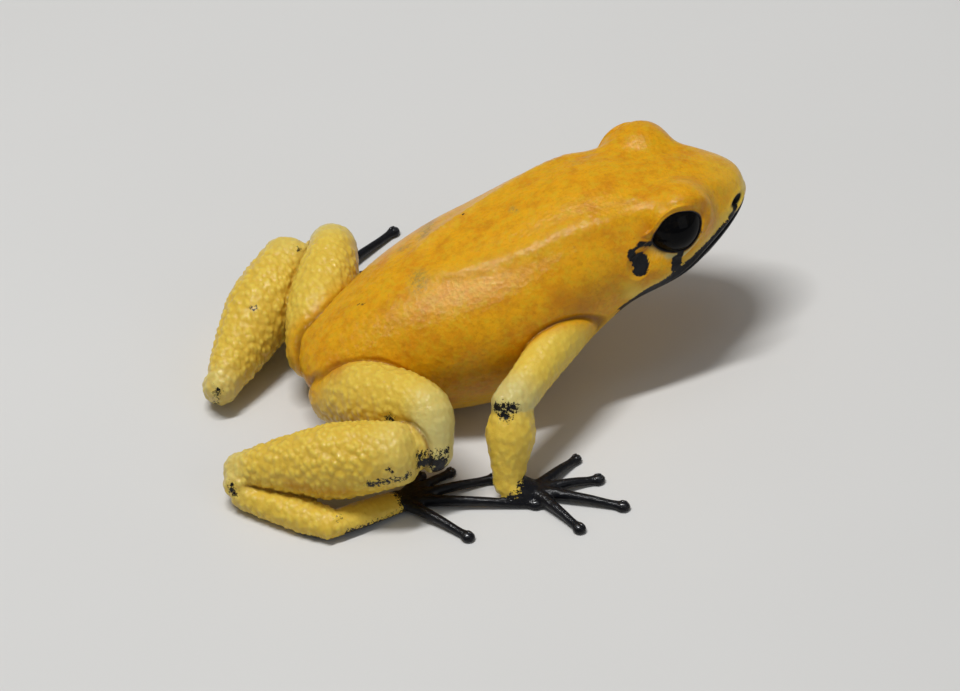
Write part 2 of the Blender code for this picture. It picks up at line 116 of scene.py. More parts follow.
def pitch_at(place):
    start, end = NECK_BEND
    return TRUNK_PITCH + (HEAD_PITCH - TRUNK_PITCH) * float(ease((place - start) / (end - start)))


def spine_frame(place):
    """Matrix whose X runs along the spine, Y to the left and Z to the back's side."""
    steps = 60
    x, z = 0.0, VENT_HEIGHT
    for i in range(steps):
        middle = pitch_at(place * (i + 0.5) / steps)
        x += math.cos(middle) * place / steps
        z += math.sin(middle) * place / steps
    return Matrix.Translation((x, 0, z)) @ Matrix.Rotation(-pitch_at(place), 4, "Y")


def on_body(feature, side=0):
    place, across, height = feature
    return spine_frame(place) @ Vector((0, side * across, height))


print("the spine is", round(spine_frame(NECK_BEND[0]).translation.z, 1), "mm up where the neck begins")

# %% Read any point back as place, distance from the midline and height
RULER = np.arange(-6.0, 60.0, 0.5)
RULER_ENDS = (-5, 58)
FIRST_GUESS = 1.03  # place along the spine for each millimetre forward
SEARCH_ROUNDS, SEARCH_STEP = 8, 0.8
ruler_frames = [spine_frame(place) for place in RULER]
ruler_x = np.array([f.translation.x for f in ruler_frames])
ruler_z = np.array([f.translation.z for f in ruler_frames])
ruler_pitch = np.array([pitch_at(place) for place in RULER])


def beside_ruler(points, place):
    """How far points lie ahead of their place on the spine, and how high above it."""
    pitch = np.interp(place, RULER, ruler_pitch)
    ahead = points[:, 0] - np.interp(place, RULER, ruler_x)
    above = points[:, 2] - np.interp(place, RULER, ruler_z)
    height = above * np.cos(pitch) - ahead * np.sin(pitch)
    return ahead * np.cos(pitch) + above * np.sin(pitch), height


def body_measure(points):
    """Place along the spine, distance across and height of many points at once."""
    place = np.clip(points[:, 0] * FIRST_GUESS, *RULER_ENDS)
    for _ in range(SEARCH_ROUNDS):
        ahead, height = beside_ruler(points, place)
        place = np.clip(place + SEARCH_STEP * ahead, *RULER_ENDS)
    return place, points[:, 1], beside_ruler(points, place)[1]


EYE = (37.6, 5.0, 1.45)
eye_low, eye_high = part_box("eye_right")
eye_in_frame = (Vector(eye_low) + Vector(eye_high)) / 2 / MM
middle = on_body(EYE, SIDES["right"]) - eye_in_frame
print("the frame's origin lies at", [round(v, 3) for v in middle], "mm from the vent's foot")

# %% [markdown]
# ## Camera
# The photograph was taken from the frog's right side, a little behind it and looking down about
# forty degrees, through a long lens. The camera comes early because a few small flecks are placed
# by sighting along its rays onto the skin.

# %% Set the camera at the photograph's angle
FRAME_WIDTH, FRAME_HEIGHT = 960, 691
FOCAL_PIXELS = 4761.0
camera_place = Vector((-77.39, -334.72, 291.94))
camera_back = Vector((-0.211, -0.740, 0.639)).normalized()
camera_right = Vector((0.940, -0.334, -0.076))
camera_up = camera_back.cross(camera_right).normalized()
camera_right = camera_up.cross(camera_back)

camera = bpy.data.objects.new("photo_camera", bpy.data.cameras.new("photo_camera"))
bpy.context.scene.collection.objects.link(camera)
bpy.context.scene.camera = camera
camera.data.sensor_width = 36.0
camera.data.lens = FOCAL_PIXELS / FRAME_WIDTH * camera.data.sensor_width
camera.data.clip_start, camera.data.clip_end = 0.01, 20.0
camera_turn = Matrix((camera_right, camera_up, camera_back)).transposed().to_4x4()
camera.matrix_world = Matrix.Translation((camera_place - middle) * MM) @ camera_turn
print("lens", round(camera.data.lens, 1), "mm")


def sight_line(x, y):
    """Direction in which the camera sees a point of the 960 x 691 picture."""
    across = (x - FRAME_WIDTH / 2) / FOCAL_PIXELS
    upward = (FRAME_HEIGHT / 2 - y) / FOCAL_PIXELS
    return (camera_right * across + camera_up * upward - camera_back).normalized()


# %% [markdown]
# ## Flesh before skin
# The real frog is soft and has no hard joints. One way would be to sculpt it by hand, but then it
# would drift from the CAD solids. Instead each form is rebuilt from the same named sizes, only
# finer: rings lofted along the spine for the trunk, round-ended tubes for limbs and digits, and
# ellipsoids for brows and muscles. Later they are fused into one body.

# %% Three ways to make a closed form
def new_object(name, bm):
    mesh = bpy.data.meshes.new(name)
    bm.to_mesh(mesh)
    bm.free()
    obj = bpy.data.objects.new(name, mesh)
    bpy.context.scene.collection.objects.link(obj)
    return obj


def loft(name, rings):
    bm = bmesh.new()
    loops = [[bm.verts.new(point) for point in ring] for ring in rings]
    count = len(rings[0])
    for lower, upper in zip(loops, loops[1:]):
        for i in range(count):
            j = (i + 1) % count
            bm.faces.new((lower[i], lower[j], upper[j], upper[i]))
    bm.faces.new(loops[0][::-1])
    bm.faces.new(loops[-1])
    bmesh.ops.recalc_face_normals(bm, faces=bm.faces)
    return new_object(name, bm)


def ellipsoid(name, centre, radii, turn=None, divisions=4):
    bm = bmesh.new()
    bmesh.ops.create_icosphere(bm, subdivisions=divisions, radius=1.0)
    turned = Matrix.Translation(centre) @ (turn or Matrix.Identity(4))
    bmesh.ops.transform(bm, matrix=turned @ Matrix.Diagonal((*radii, 1)), verts=bm.verts)
    return new_object(name, bm)


# %% A tube along a curved path
limb_lines = {}  # centre line and radius of each limb, for the markings later
CAP_TURNS = (80, 65, 48, 30, 15)  # degrees at which the rings of a round end stand


def tube(name, joints, girth, sides=28, rings=26, start_cap=1.0):
    """Round-ended body along a smooth path; girth rows are share, half height, half width."""
    joints = [Vector(j) for j in joints]
    lengths = [0.0]
    for a, b in zip(joints, joints[1:]):
        lengths.append(lengths[-1] + (b - a).length)
    total = lengths[-1]
    table = [(length, *joint) for length, joint in zip(lengths, joints)]

    def point(share):
        return Vector(read_table(table, share * total))

    def tangent(share):
        return (point(min(share + 0.02, 1)) - point(max(share - 0.02, 0))).normalized()

    shares = [i / rings for i in range(rings + 1)]
    first, last = read_table(girth, 0), read_table(girth, 1)
    stations = []
    for turn in CAP_TURNS:
        angle = math.radians(turn)
        stations.append((0.0, -math.sin(angle) * first[0] * start_cap, math.cos(angle)))
    stations += [(share, 0.0, 1.0) for share in shares]
    for turn in reversed(CAP_TURNS):
        angle = math.radians(turn)
        stations.append((1.0, math.sin(angle) * last[0], math.cos(angle)))
    result = []
    for share, beyond, shrink in stations:
        along = tangent(share)
        side = along.cross(Vector((0, 0, 1)))
        if side.length < 0.2:
            side = along.cross(Vector((1, 0, 0)))
        side.normalize()
        up = side.cross(along)
        half_height, half_width = read_table(girth, share)
        centre = point(share) + along * beyond
        ring = []
        for i in range(sides):
            angle = 2 * math.pi * i / sides
            rise = up * (math.sin(angle) * half_height * shrink)
            ring.append(centre + rise + side * (math.cos(angle) * half_width * shrink))
        result.append(ring)
    line = np.array([point(share) for share in shares])
    radius = np.array([max(read_table(girth, share)) for share in shares])
    limb_lines[name] = (line, radius)
    return loft(name, result)


# %% The trunk's cross-sections, from vent to snout
# place, half width, above, below, drop of the widest line, squareness, narrowing to the top
TRUNK_SECTIONS = [
    (0.6, 1.4, 0.8, 1.8, 0.2, 0.0, 0.0),
    (1.6, 2.9, 2.0, 3.1, 0.4, 0.0, 0.0),
    (4.0, 5.0, 3.3, 4.8, 0.6, 0.05, 0.0),
    (8.0, 6.9, 4.3, 7.6, 1.1, 0.06, 0.0),
    (13.0, 8.9, 5.0, 9.7, 1.9, 0.08, 0.06),
    (18.0, 10.0, 4.9, 10.6, 2.2, 0.10, 0.10),
    (23.0, 9.8, 4.6, 10.0, 2.1, 0.10, 0.10),
    (27.5, 9.1, 4.7, 8.7, 1.7, 0.12, 0.10),
    (31.5, 8.8, 4.7, 7.5, 1.8, 0.12, 0.12),
    (35.0, 8.8, 4.5, 6.5, 2.3, 0.16, 0.20),
    (38.5, 8.1, 4.2, 5.4, 2.1, 0.18, 0.29),
    (41.5, 6.6, 3.7, 4.3, 1.7, 0.18, 0.31),
    (44.2, 4.6, 3.1, 2.9, 1.0, 0.18, 0.25),
    (46.0, 2.8, 2.3, 1.8, 0.4, 0.10, 0.12),
    (46.8, 1.5, 1.4, 1.0, 0.1, 0.0, 0.0),
]
BELLY_SQUARENESS = 0.1
CHIN = (30.0, 36.0, 1.1)  # from place, to place, and how sharply the chin falls in below the lip
RING_POINTS = 72
RING_SPACING = 0.4


def trunk_ring(place):
    half_width, above, below, drop, squareness, narrowing = read_table(TRUNK_SECTIONS, place)
    turned = spine_frame(place)
    chin = float(ease((place - CHIN[0]) / (CHIN[1] - CHIN[0])))
    ring = []
    for i in range(RING_POINTS):
        angle = 2 * math.pi * i / RING_POINTS
        power = 1 - squareness
        if math.sin(angle) < 0:
            power = (power - BELLY_SQUARENESS) * (1 - chin) + CHIN[2] * chin
        up = math.copysign(abs(math.sin(angle)) ** power, math.sin(angle))
        across = math.copysign(abs(math.cos(angle)) ** power, math.cos(angle)) * half_width
        if up > 0:
            across *= 1 - narrowing * up * up
        height = up * (above + drop if up > 0 else below - drop) - drop
        ring.append(turned @ Vector((0, across, height)))
    return ring


start, end = TRUNK_SECTIONS[0][0], TRUNK_SECTIONS[-1][0]
ring_count = round((end - start) / RING_SPACING)
rings = [trunk_ring(start + (end - start) * i / ring_count) for i in range(ring_count + 1)]
trunk_forms = [loft("trunk", rings)]
print("trunk lofted through", len(rings), "rings")

# %% Brows, the ridge from eye to snout, shoulders and hips
EYEBALL_RADIUS = 2.85
BROW_RADIUS = 3.35
BROW_STRETCH = 1.05
CANTHUS = [(38.5, 3.7, 2.7), (42.0, 2.9, 2.2), (45.0, 1.8, 1.1)]
CANTHUS_GIRTH = [(0, 1.7, 1.5), (0.5, 1.35, 1.2), (1, 1.1, 1.1)]
BROW_SHIFT = Vector((0.85, -0.1, 0.4))  # the brow swells a little ahead of the eye's centre
TEMPLE = [(38.0, 4.1, 3.0), (34.2, 4.5, 2.55), (29.5, 5.0, 2.1)]  # low ridge running back from it
TEMPLE_GIRTH = [(0, 1.6, 1.6), (0.5, 1.55, 1.7), (1, 1.4, 1.6)]
MUSCLES = {
    "shoulder": ((27.0, 5.9, -2.2), (4.4, 3.3, 3.6)),
    "hip": ((4.6, 2.9, -0.5), (4.0, 2.9, 3.0)),
}
head_turn = spine_frame(EYE[0]).to_3x3().to_4x4()
for side in SIDES.values():
    brow_radii = (BROW_RADIUS * BROW_STRETCH, BROW_RADIUS, BROW_RADIUS)
    brow_centre = on_body(Vector(EYE) + BROW_SHIFT, side)
    trunk_forms.append(ellipsoid("brow", brow_centre, brow_radii, head_turn))
    trunk_forms.append(tube("temple", [on_body(p, side) for p in TEMPLE], TEMPLE_GIRTH))
    trunk_forms.append(tube("canthus", [on_body(p, side) for p in CANTHUS], CANTHUS_GIRTH))
    for name, (centre, radii) in MUSCLES.items():
        trunk_forms.append(ellipsoid(name, on_body(centre, side), radii))
limb_lines.clear()
print(len(trunk_forms), "forms make up head and trunk")

# %% [markdown]
# ## Limbs and digits
# A frog folds its hind leg in three: thigh forwards, shank back, and the long foot forwards again.
# The toes and fingers are slim rods with a small adhesive disc at the tip, lying flat on the
# floor. Each is one call in a loop, so the four fingers and five toes of every limb stay alike.

# %% Where the joints are, on either side
HIP = (3.0, 3.6, 5.0)
SHOULDER = (26.0, 6.5, 9.2)
# toes: how far the middle of the foot is turned, in degrees; hock: ahead, outward and up of the heel
LEG = {
    "right": {
        "knee": (8.6, -15.6, 7.6),
        "heel": (-8.2, -7.6, 2.9),
        "instep": (-2.4, -16.4, 1.15),
        "ball": (4.6, -15.4, 0.68),
        "toes": -25.0,
        "hock": (-0.4, 1.9, -1.5),
    },
    "left": {
        "knee": (8.2, 15.2, 7.4),
        "heel": (-6.3, 4.9, 2.7),
        "instep": (-0.7, 14.4, 1.15),
        "ball": (6.0, 17.0, 0.68),
        "toes": 0.0,
        "hock": (0.4, 1.2, -1.2),
    },
}
ARM = {
    "right": {"elbow": (16.3, -14.8, 7.8), "wrist": (14.2, -18.3, 1.5), "fingers": -24.0},
    "left": {"elbow": (17.2, 12.2, 6.3), "wrist": (20.8, 14.9, 1.5), "fingers": 12.0},
}
HEEL_RADIUS = 1.7  # of the ball that rounds the corner between shank and foot
HEEL_SHIFT = (-0.15, 0.0, 0.0)
# share of the length, half height, half width
GIRTH = {
    "thigh": [(0.0, 3.0, 2.9), (0.25, 3.5, 3.3), (0.5, 3.1, 3.0), (0.72, 2.4, 2.35), (1.0, 2.0, 2.05)],
    "shank": [(0, 2.95, 2.95), (0.2, 3.3, 3.3), (0.42, 3.5, 3.45), (0.75, 2.6, 2.5), (1, 1.65, 1.6)],
    "tarsus": [(0.0, 1.3, 1.35), (0.35, 1.45, 1.6), (0.7, 1.5, 1.75), (1.0, 1.15, 1.6)],
    "sole": [(0, 1.1, 1.35), (0.5, 0.95, 1.5), (1, 0.75, 1.35)],
    "upper_arm": [(0.0, 2.6, 2.6), (0.3, 2.3, 2.3), (0.7, 1.95, 1.95), (1.0, 1.9, 1.9)],
    "forearm": [(0.0, 1.85, 1.85), (0.35, 2.3, 2.3), (0.7, 1.7, 1.75), (1.0, 1.15, 1.35)],
    "palm": [(0, 1.15, 1.3), (0.5, 1.0, 1.45), (1, 0.8, 1.3)],
    "digit": [(0, 0.62, 0.66), (0.3, 0.52, 0.54), (0.7, 0.42, 0.44), (1, 0.40, 0.44)],
}
shank_length = (Vector(LEG["right"]["heel"]) - Vector(LEG["right"]["knee"])).length
print("the right shank is", round(shank_length, 1), "mm long from knee to heel")

# %% Toes and fingers with their discs
# turn from the middle of the foot or hand in degrees, and length
TOES = [(60.0, 4.0), (38.0, 6.0), (15.0, 9.0), (-8.0, 12.5), (-42.0, 8.0)]
FINGERS = [(52.0, 6.0), (18.0, 6.2), (-12.0, 8.6), (-46.0, 6.6)]
PALM_LENGTH = 2.2
PALM_HEIGHT = 0.72
DIGIT_ROOT = 0.85
DIGIT_RADIUS = 0.46
DIGIT_ARCH = [(0.33, 0.30), (0.62, 0.22), (0.86, 0.0), (1.0, 0.0)]  # share of the length, lift
DISC = (0.75, 0.66, 0.465)
disc_places = []  # centre, heading and scale of each disc, for its pads later


def digit(name, root, heading, length, disc_scale):
    along = Vector((math.cos(heading), math.sin(heading), 0))
    low = DIGIT_RADIUS * 0.88
    tip = root + along * length
    points = [root]
    for share, lift in DIGIT_ARCH:
        points.append(Vector((*(root + along * length * share).xy, low + lift)))
    centre = Vector((*tip.xy, low - 0.08))
    disc_places.append((centre, heading, disc_scale))
    radii = [r * disc_scale for r in DISC[:2]] + [DISC[2]]
    disc = ellipsoid(name + "_disc", centre, radii, Matrix.Rotation(heading, 4, "Z"))
    return [tube(name, points, GIRTH["digit"], sides=18, rings=18), disc]


def spread_digits(name, root, heading, rows):
    pieces = []
    for i, (turn, length) in enumerate(rows):
        angle = heading + math.radians(turn)
        first = root + Vector((math.cos(angle), math.sin(angle), 0)) * DIGIT_ROOT
        scale = 1.0 if length > 6 else 0.85
        pieces += digit(f"{name}_{i}", first, angle, length - DIGIT_ROOT, scale)
    return pieces


# %% Legs
limb_forms = []
for name, side in SIDES.items():
    leg = LEG[name]
    hip = Vector((HIP[0], side * HIP[1], HIP[2]))
    knee, heel = Vector(leg["knee"]), Vector(leg["heel"])
    instep, ball = Vector(leg["instep"]), Vector(leg["ball"])
    over_knee = knee + Vector((0, -side * 2.0, 1.2))
    under_knee = knee + Vector((-0.7, side * 0.3, -1.6))
    bend = hip.lerp(over_knee, 0.5) + Vector((0, 0, 0.3))
    limb_forms.append(tube("thigh_" + name, [hip, bend, over_knee, under_knee], GIRTH["thigh"]))
    shank_top = knee + Vector((-3.6, side * 0.2, -0.9))
    bulge = shank_top.lerp(heel, 0.45) + Vector((0, side * 0.3, 0.1))
    shank = tube("shank_" + name, [shank_top, bulge, heel], GIRTH["shank"], start_cap=0.6)
    limb_forms.append(shank)
    ahead, outward, upward = leg["hock"]
    tarsus_top = heel + Vector((ahead, side * outward, upward))
    bend = tarsus_top.lerp(instep, 0.5)
    limb_forms.append(tube("tarsus_" + name, [tarsus_top, bend, instep], GIRTH["tarsus"]))
    heel_middle = heel.lerp(tarsus_top, 0.5) + Vector(HEEL_SHIFT)
    limb_forms.append(ellipsoid("heel_" + name, heel_middle, (HEEL_RADIUS,) * 3))
    bend = instep.lerp(ball, 0.5)
    limb_forms.append(tube("sole_" + name, [instep, bend, ball], GIRTH["sole"]))
    heading = math.atan2(ball.y - instep.y, ball.x - instep.x) + math.radians(leg["toes"])
    rows = [(-side * turn, length) for turn, length in TOES]
    limb_forms += spread_digits("toe_" + name, ball, heading, rows)
print(len(limb_forms), "forms make up the legs")

# %% Arms
for name, side in SIDES.items():
    arm = ARM[name]
    shoulder = Vector((SHOULDER[0], side * SHOULDER[1], SHOULDER[2]))
    elbow, wrist = Vector(arm["elbow"]), Vector(arm["wrist"])
    bend = shoulder.lerp(elbow, 0.5) + Vector((0, side * 0.3, 0.3))
    limb_forms.append(tube("upper_arm_" + name, [shoulder, bend, elbow], GIRTH["upper_arm"]))
    below = elbow + Vector((0.1, 0, -0.4))
    bend = elbow.lerp(wrist, 0.5)
    limb_forms.append(tube("forearm_" + name, [below, bend, wrist], GIRTH["forearm"]))
    heading = math.radians(arm["fingers"])
    along = Vector((math.cos(heading), math.sin(heading), 0))
    palm_end = Vector((*(wrist + along * PALM_LENGTH).xy, PALM_HEIGHT))
    bend = wrist.lerp(palm_end, 0.5)
    limb_forms.append(tube("palm_" + name, [wrist, bend, palm_end], GIRTH["palm"]))
    rows = [(-side * turn, length) for turn, length in FINGERS]
    limb_forms += spread_digits("finger_" + name, palm_end, heading, rows)
print(len(limb_forms), "forms make up the limbs,", len(disc_places), "of them discs")

# %% [markdown]
# ## One body
# Skin has no seams, so the overlapping forms are fused by a voxel remesh, which wraps a fine grid
# of squares round them all. The grid leaves tiny steps and sharp creases, and these are relaxed:
# each point moves towards the mean of its neighbours. Trunk and head are fused and relaxed first,
# strongly, and then the limbs join with a gentler hand, so that toes keep their thickness.

# %% Tools that fuse forms, and read, move and relax a mesh's points
FINE_VOXEL = 0.14
VOXEL = FINE_VOXEL
TRUNK_VOXEL = 0.26
TRUNK_ROUNDS = 34


def bake_modifiers(obj):
    bpy.context.view_layer.update()
    graph = bpy.context.evaluated_depsgraph_get()
    mesh = bpy.data.meshes.new_from_object(obj.evaluated_get(graph), depsgraph=graph)
    obj.modifiers.clear()
    obj.data = mesh
    return obj


def fuse(name, objects, voxel):
    bm = bmesh.new()
    for obj in objects:
        bm.from_mesh(obj.data)
        bpy.data.objects.remove(obj)
    body = new_object(name, bm)
    remesh = body.modifiers.new("fuse", "REMESH")
    remesh.mode = "VOXEL"
    remesh.voxel_size = voxel
    return bake_modifiers(body)


def places_of(obj):
    flat = np.empty(len(obj.data.vertices) * 3, dtype=np.float32)
    obj.data.vertices.foreach_get("co", flat)
    return flat.reshape(-1, 3).astype(float)


def put_places(obj, places):
    obj.data.vertices.foreach_set("co", places.astype(np.float32).ravel())
    obj.data.update()


def normals_of(obj):
    flat = np.empty(len(obj.data.vertices) * 3, dtype=np.float32)
    obj.data.vertex_normals.foreach_get("vector", flat)
    return flat.reshape(-1, 3).astype(float)


def edges_of(obj):
    flat = np.empty(len(obj.data.edges) * 2, dtype=np.int32)
    obj.data.edges.foreach_get("vertices", flat)
    return flat.reshape(-1, 2)


def relax(places, edges, rounds, hold=1.0, regrow=0.0):
    """Moves points towards their neighbours' mean; regrow gives the lost thickness back."""
    count = len(places)
    degree = np.bincount(edges.ravel(), minlength=count)[:, None]
    hold = np.broadcast_to(hold, count)[:, None]
    for _ in range(rounds):
        for step in (0.5, -regrow):
            if step == 0:
                continue
            total = np.empty_like(places)
            for axis in range(3):
                column = places[:, axis]
                total[:, axis] = np.bincount(edges[:, 0], column[edges[:, 1]], count)
                total[:, axis] += np.bincount(edges[:, 1], column[edges[:, 0]], count)
            places = places + step * hold * (total / degree - places)
    return places


def nearness(points, centre, reach):
    """1 at a centre, falling softly to 0 at reach."""
    away = np.linalg.norm(points - np.array(centre), axis=1)
    return 1 - ease(away / reach)


# %% Fuse the trunk, and then everything
trunk = fuse("trunk", trunk_forms, TRUNK_VOXEL)
put_places(trunk, relax(places_of(trunk), edges_of(trunk), TRUNK_ROUNDS))
faces = [tuple(face.vertices) for face in trunk.data.polygons]
trunk_surface = BVHTree.FromPolygons([v.co.copy() for v in trunk.data.vertices], faces)
skin = fuse("frog_skin", [trunk] + limb_forms, VOXEL)
print("fused body:", len(skin.data.vertices), "points")

# %% Soften the roots of the limbs, and take the grid's steps off the rest
ROOTS = [  # place of a limb's root on the left side, and how far round it the skin is softened
    ((HIP[0] - 0.5, HIP[1] + 1.6, HIP[2] + 0.5), 4.2),
    ((SHOULDER[0] - 1.6, SHOULDER[1] + 1.6, SHOULDER[2] - 0.4), 2.6),
]
ROOT_ROUNDS, SKIN_ROUNDS, LAST_ROUNDS = 60, 14, 4  # at the fine voxel size
REGROW = 0.52


def near_roots(points):
    roots = np.zeros(len(points))
    for side in SIDES.values():
        for (x, y, z), reach in ROOTS:
            roots = np.maximum(roots, nearness(points, (x, side * y, z), reach))
    return roots


places, edges = places_of(skin), edges_of(skin)
roots = near_roots(places)
coarser = VOXEL / FINE_VOXEL
places = relax(places, edges, round(ROOT_ROUNDS / coarser**2), hold=roots)
places = relax(places, edges, round(SKIN_ROUNDS / coarser), regrow=REGROW)
places = relax(places, edges, round(LAST_ROUNDS / coarser))
put_places(skin, places)
print("roots softened at", int((roots > 0.5).sum()), "points")

# %% [markdown]
# ## Head
# The head gets the most care. A frog's lids are a soft rim that hugs the ball of the eye, its
# nostrils are small slanting pits near the snout's tip, its mouth is one long line under a thin
# lip, and the eardrum is a shallow dish behind the eye. These are finer than the fused grid, so
# the grid is first split once more around them, and then its points are moved by simple rules.

# %% Rules that say how near a point is to each feature of the head
MOUTH_LINE = [
    (29.5, -5.5), (31.5, -4.9), (33.5, -4.2), (36.1, -3.35), (38.0, -2.55), (40.4, -1.45),
    (43.0, -0.8), (45.0, -0.4), (46.5, -0.05), (47.6, 0.15),
]
NOSTRIL = (44.9, 3.4, 0.65)
NOSTRIL_SIZE = (0.56, 0.27)
NOSTRIL_SLANT = math.radians(6)
TYMPANUM = (33.1, 7.6, -0.35)
TYMPANUM_RADIUS = 1.15
EYEBALL = (EYE[0], EYE[1] + 0.3, EYE[2])  # the lids hold the ball prouder than the solids do
LID_TURN = (math.radians(2), math.radians(5))  # where the lids open to: forward, and up
# angle round the eye in degrees (0 is forward, 90 up), and the opening's reach on the ball in mm
LID_OPENING = [
    (0, 2.12), (23, 2.62), (41, 2.60), (73, 2.38), (101, 2.40), (128, 2.44), (156, 2.52),
    (180, 2.86), (196, 3.06), (212, 2.78), (227, 2.40), (249, 2.08), (278, 1.92), (311, 1.64),
    (346, 1.86), (360, 2.12),
]
mouth_places = np.linspace(MOUTH_LINE[0][0], MOUTH_LINE[-1][0], 60)
mouth_heights = np.array([read_table(MOUTH_LINE, place)[0] for place in mouth_places])
lid_angles = np.arange(0, 361, 4.0)
lid_reaches = np.array([read_table(LID_OPENING, angle)[0] for angle in lid_angles])


def lid_axes(side):
    forward, up = LID_TURN
    across = side * math.cos(forward) * math.cos(up)
    gaze = Vector((math.sin(forward), across, math.sin(up))).normalized()
    along = Vector((1, 0, 0))
    along = (along - gaze * along.dot(gaze)).normalized()
    upward = gaze.cross(along) * -side
    head = spine_frame(EYE[0]).to_3x3()
    return [np.array(head @ axis) for axis in (gaze, along, upward)]


def lid_measure(points, side):
    """Distance from the eye's centre, angle off its gaze, and 1 at the lids' rim."""
    gaze, along, upward = lid_axes(side)
    offset = points - np.array(on_body(EYEBALL, side))
    away = np.maximum(np.linalg.norm(offset, axis=1), 1e-6)
    off_gaze = np.arccos(np.clip(offset @ gaze / away, -1, 1))
    around = np.degrees(np.arctan2(offset @ upward, offset @ along)) % 360
    reach = np.interp(around, lid_angles, lid_reaches)
    return away, off_gaze, off_gaze * EYEBALL_RADIUS / reach, around


def bell(x, middle, width):
    """1 at the middle, falling off softly on either side of it."""
    return np.exp(-(((x - middle) / width) ** 2))


def above_mouth(place, height):
    return height - np.interp(place, mouth_places, mouth_heights)


def nostril_measure(place, height, across):
    ahead, above = place - NOSTRIL[0], height - NOSTRIL[2]
    cos, sin = math.cos(NOSTRIL_SLANT), math.sin(NOSTRIL_SLANT)
    long_way = (ahead * cos + above * sin) / NOSTRIL_SIZE[0]
    short_way = (above * cos - ahead * sin) / NOSTRIL_SIZE[1]
    return np.hypot(long_way, short_way) + 9 * (np.abs(across) < 1.2)


def ear_measure(place, height, across):
    return np.hypot(place - TYMPANUM[0], height - TYMPANUM[2]) + 9 * (np.abs(across) < 4)


print("the mouth line runs over", MOUTH_LINE[-1][0] - MOUTH_LINE[0][0], "mm of the spine")

# %% Split the grid around them
def near_feature(points):
    place, across, height = body_measure(points)
    mouth = (np.abs(above_mouth(place, height)) < 0.75) & (place > 31.5)
    nostril = nostril_measure(place, height, across) < 3.2
    chosen = mouth | nostril
    for side in SIDES.values():
        away, off_gaze, rim, around = lid_measure(points, side)
        chosen |= (away < 4.6) & (rim < 1.45) & (rim > 0.75)
    return chosen


chosen = near_feature(places)
bm = bmesh.new()
bm.from_mesh(skin.data)
bm.verts.ensure_lookup_table()
split = [edge for edge in bm.edges if chosen[edge.verts[0].index] and chosen[edge.verts[1].index]]
bmesh.ops.subdivide_edges(bm, edges=split, cuts=1, use_grid_fill=True)
bm.to_mesh(skin.data)
bm.free()
print(len(split), "edges split on the head")

# %% [markdown]
# ### Lids
# A frog's lids have no edge of their own: the skin swells over the ball and ends in a thin bead
# that lies on it. We measure each point from the eye's centre. Inside the opening the skin sinks
# into the socket, at the rim it lies on the ball, and beyond the rim it leaves the ball again,
# steeply above and behind, gently below and in front.

# %% Open the lids and settle their rims on the eyeballs
LID_RADIUS = 3.10  # of the lids' rim, from the eye's centre
LID_COVER = 0.04  # the skin stays this far outside the rim's radius wherever it covers the ball
SOCKET_RADIUS = 2.3
LID_ROUNDING = 0.9
# how steeply the skin leaves the ball: everywhere, and how much less below and in front
FLARE, FLARE_BELOW, FLARE_AHEAD = 2.9, 1.4, 1.9
CURL, CURL_AHEAD = 1.3, 1.1
LID_ROUNDS = 36
places = places_of(skin)
for side in SIDES.values():
    away, off_gaze, rim, around = lid_measure(places, side)
    reach = np.interp(around, lid_angles, lid_reaches)
    upper = np.clip(np.sin(np.radians(around)), 0, 1)
    beyond = np.maximum(rim - 1.06, 0) * reach
    lower = np.clip(-np.sin(np.radians(around)), 0, 1)
    front = np.clip(np.cos(np.radians(around)), 0, 1)
    flare = (FLARE - FLARE_BELOW * lower - FLARE_AHEAD * front) * beyond
    dip = LID_RADIUS + flare + (CURL - CURL_AHEAD * front) * beyond**2
    between = np.clip(0.5 + 0.5 * (dip - away) / LID_ROUNDING, 0, 1)
    lid = dip * (1 - between) + away * between - LID_ROUNDING * between * (1 - between)
    at_rim = 1 - ease((rim - 1.04) / 0.18)
    lid = lid * (1 - at_rim) + dip * at_rim
    lid += (0.03 + 0.12 * upper) * bell(rim, 1.36, 0.18)
    lid += (0.08 + 0.08 * lower) * bell(rim, 1.10, 0.07)
    sunk = ease((1.0 - rim) / 0.10)
    lid = lid * (1 - sunk) + SOCKET_RADIUS * sunk
    hold = np.maximum(ease((1.08 - rim) / 0.08), 1 - ease((away - 4.1) / 1.0))
    hold *= (away < 6.5) * (1 - ease((rim - 1.7) / 0.5))
    lid = away + hold * (lid - away)
    centre = np.array(on_body(EYEBALL, side))
    places = centre + (places - centre) * (lid / away)[:, None]

soft = np.zeros(len(places))
for side in SIDES.values():
    away, off_gaze, rim, around = lid_measure(places, side)
    around_lids = ease((rim - 1.2) / 0.25) * (1 - ease((rim - 2.1) / 0.8))
    soft = np.maximum(soft, around_lids * (1 - ease((away - 4.9) / 1.2)))
places = relax(places, edges_of(skin), round(LID_ROUNDS / coarser**2), hold=soft)


def clear_of_eyeballs(points):
    """Lifts the skin off the eyeballs wherever it should cover them."""
    for side in SIDES.values():
        away, off_gaze, rim, around = lid_measure(points, side)
        cover = (rim > 1.02) & (away > 1.2) & (off_gaze < 2.4)
        lid = np.where(cover, np.maximum(away, LID_RADIUS + LID_COVER), away)
        centre = np.array(on_body(EYEBALL, side))
        points = centre + (points - centre) * (lid / away)[:, None]
    return points


places = clear_of_eyeballs(places)
put_places(skin, places)
print("lids settled on the eyeballs")

# %% [markdown]
# ### Mouth, nostrils and eardrums
# These are all shallow: a groove a third of a millimetre deep with a soft lip over it, a slanting
# pit, and a flat dish with a raised ring. So each point is pushed along its own normal, by a
# little or by nothing, and the pushes are soft bell curves of its distance to each feature.

# %% Press in the mouth line, nostrils and eardrums
MOUTH_DEPTH, MOUTH_WIDTH = 0.34, 0.12
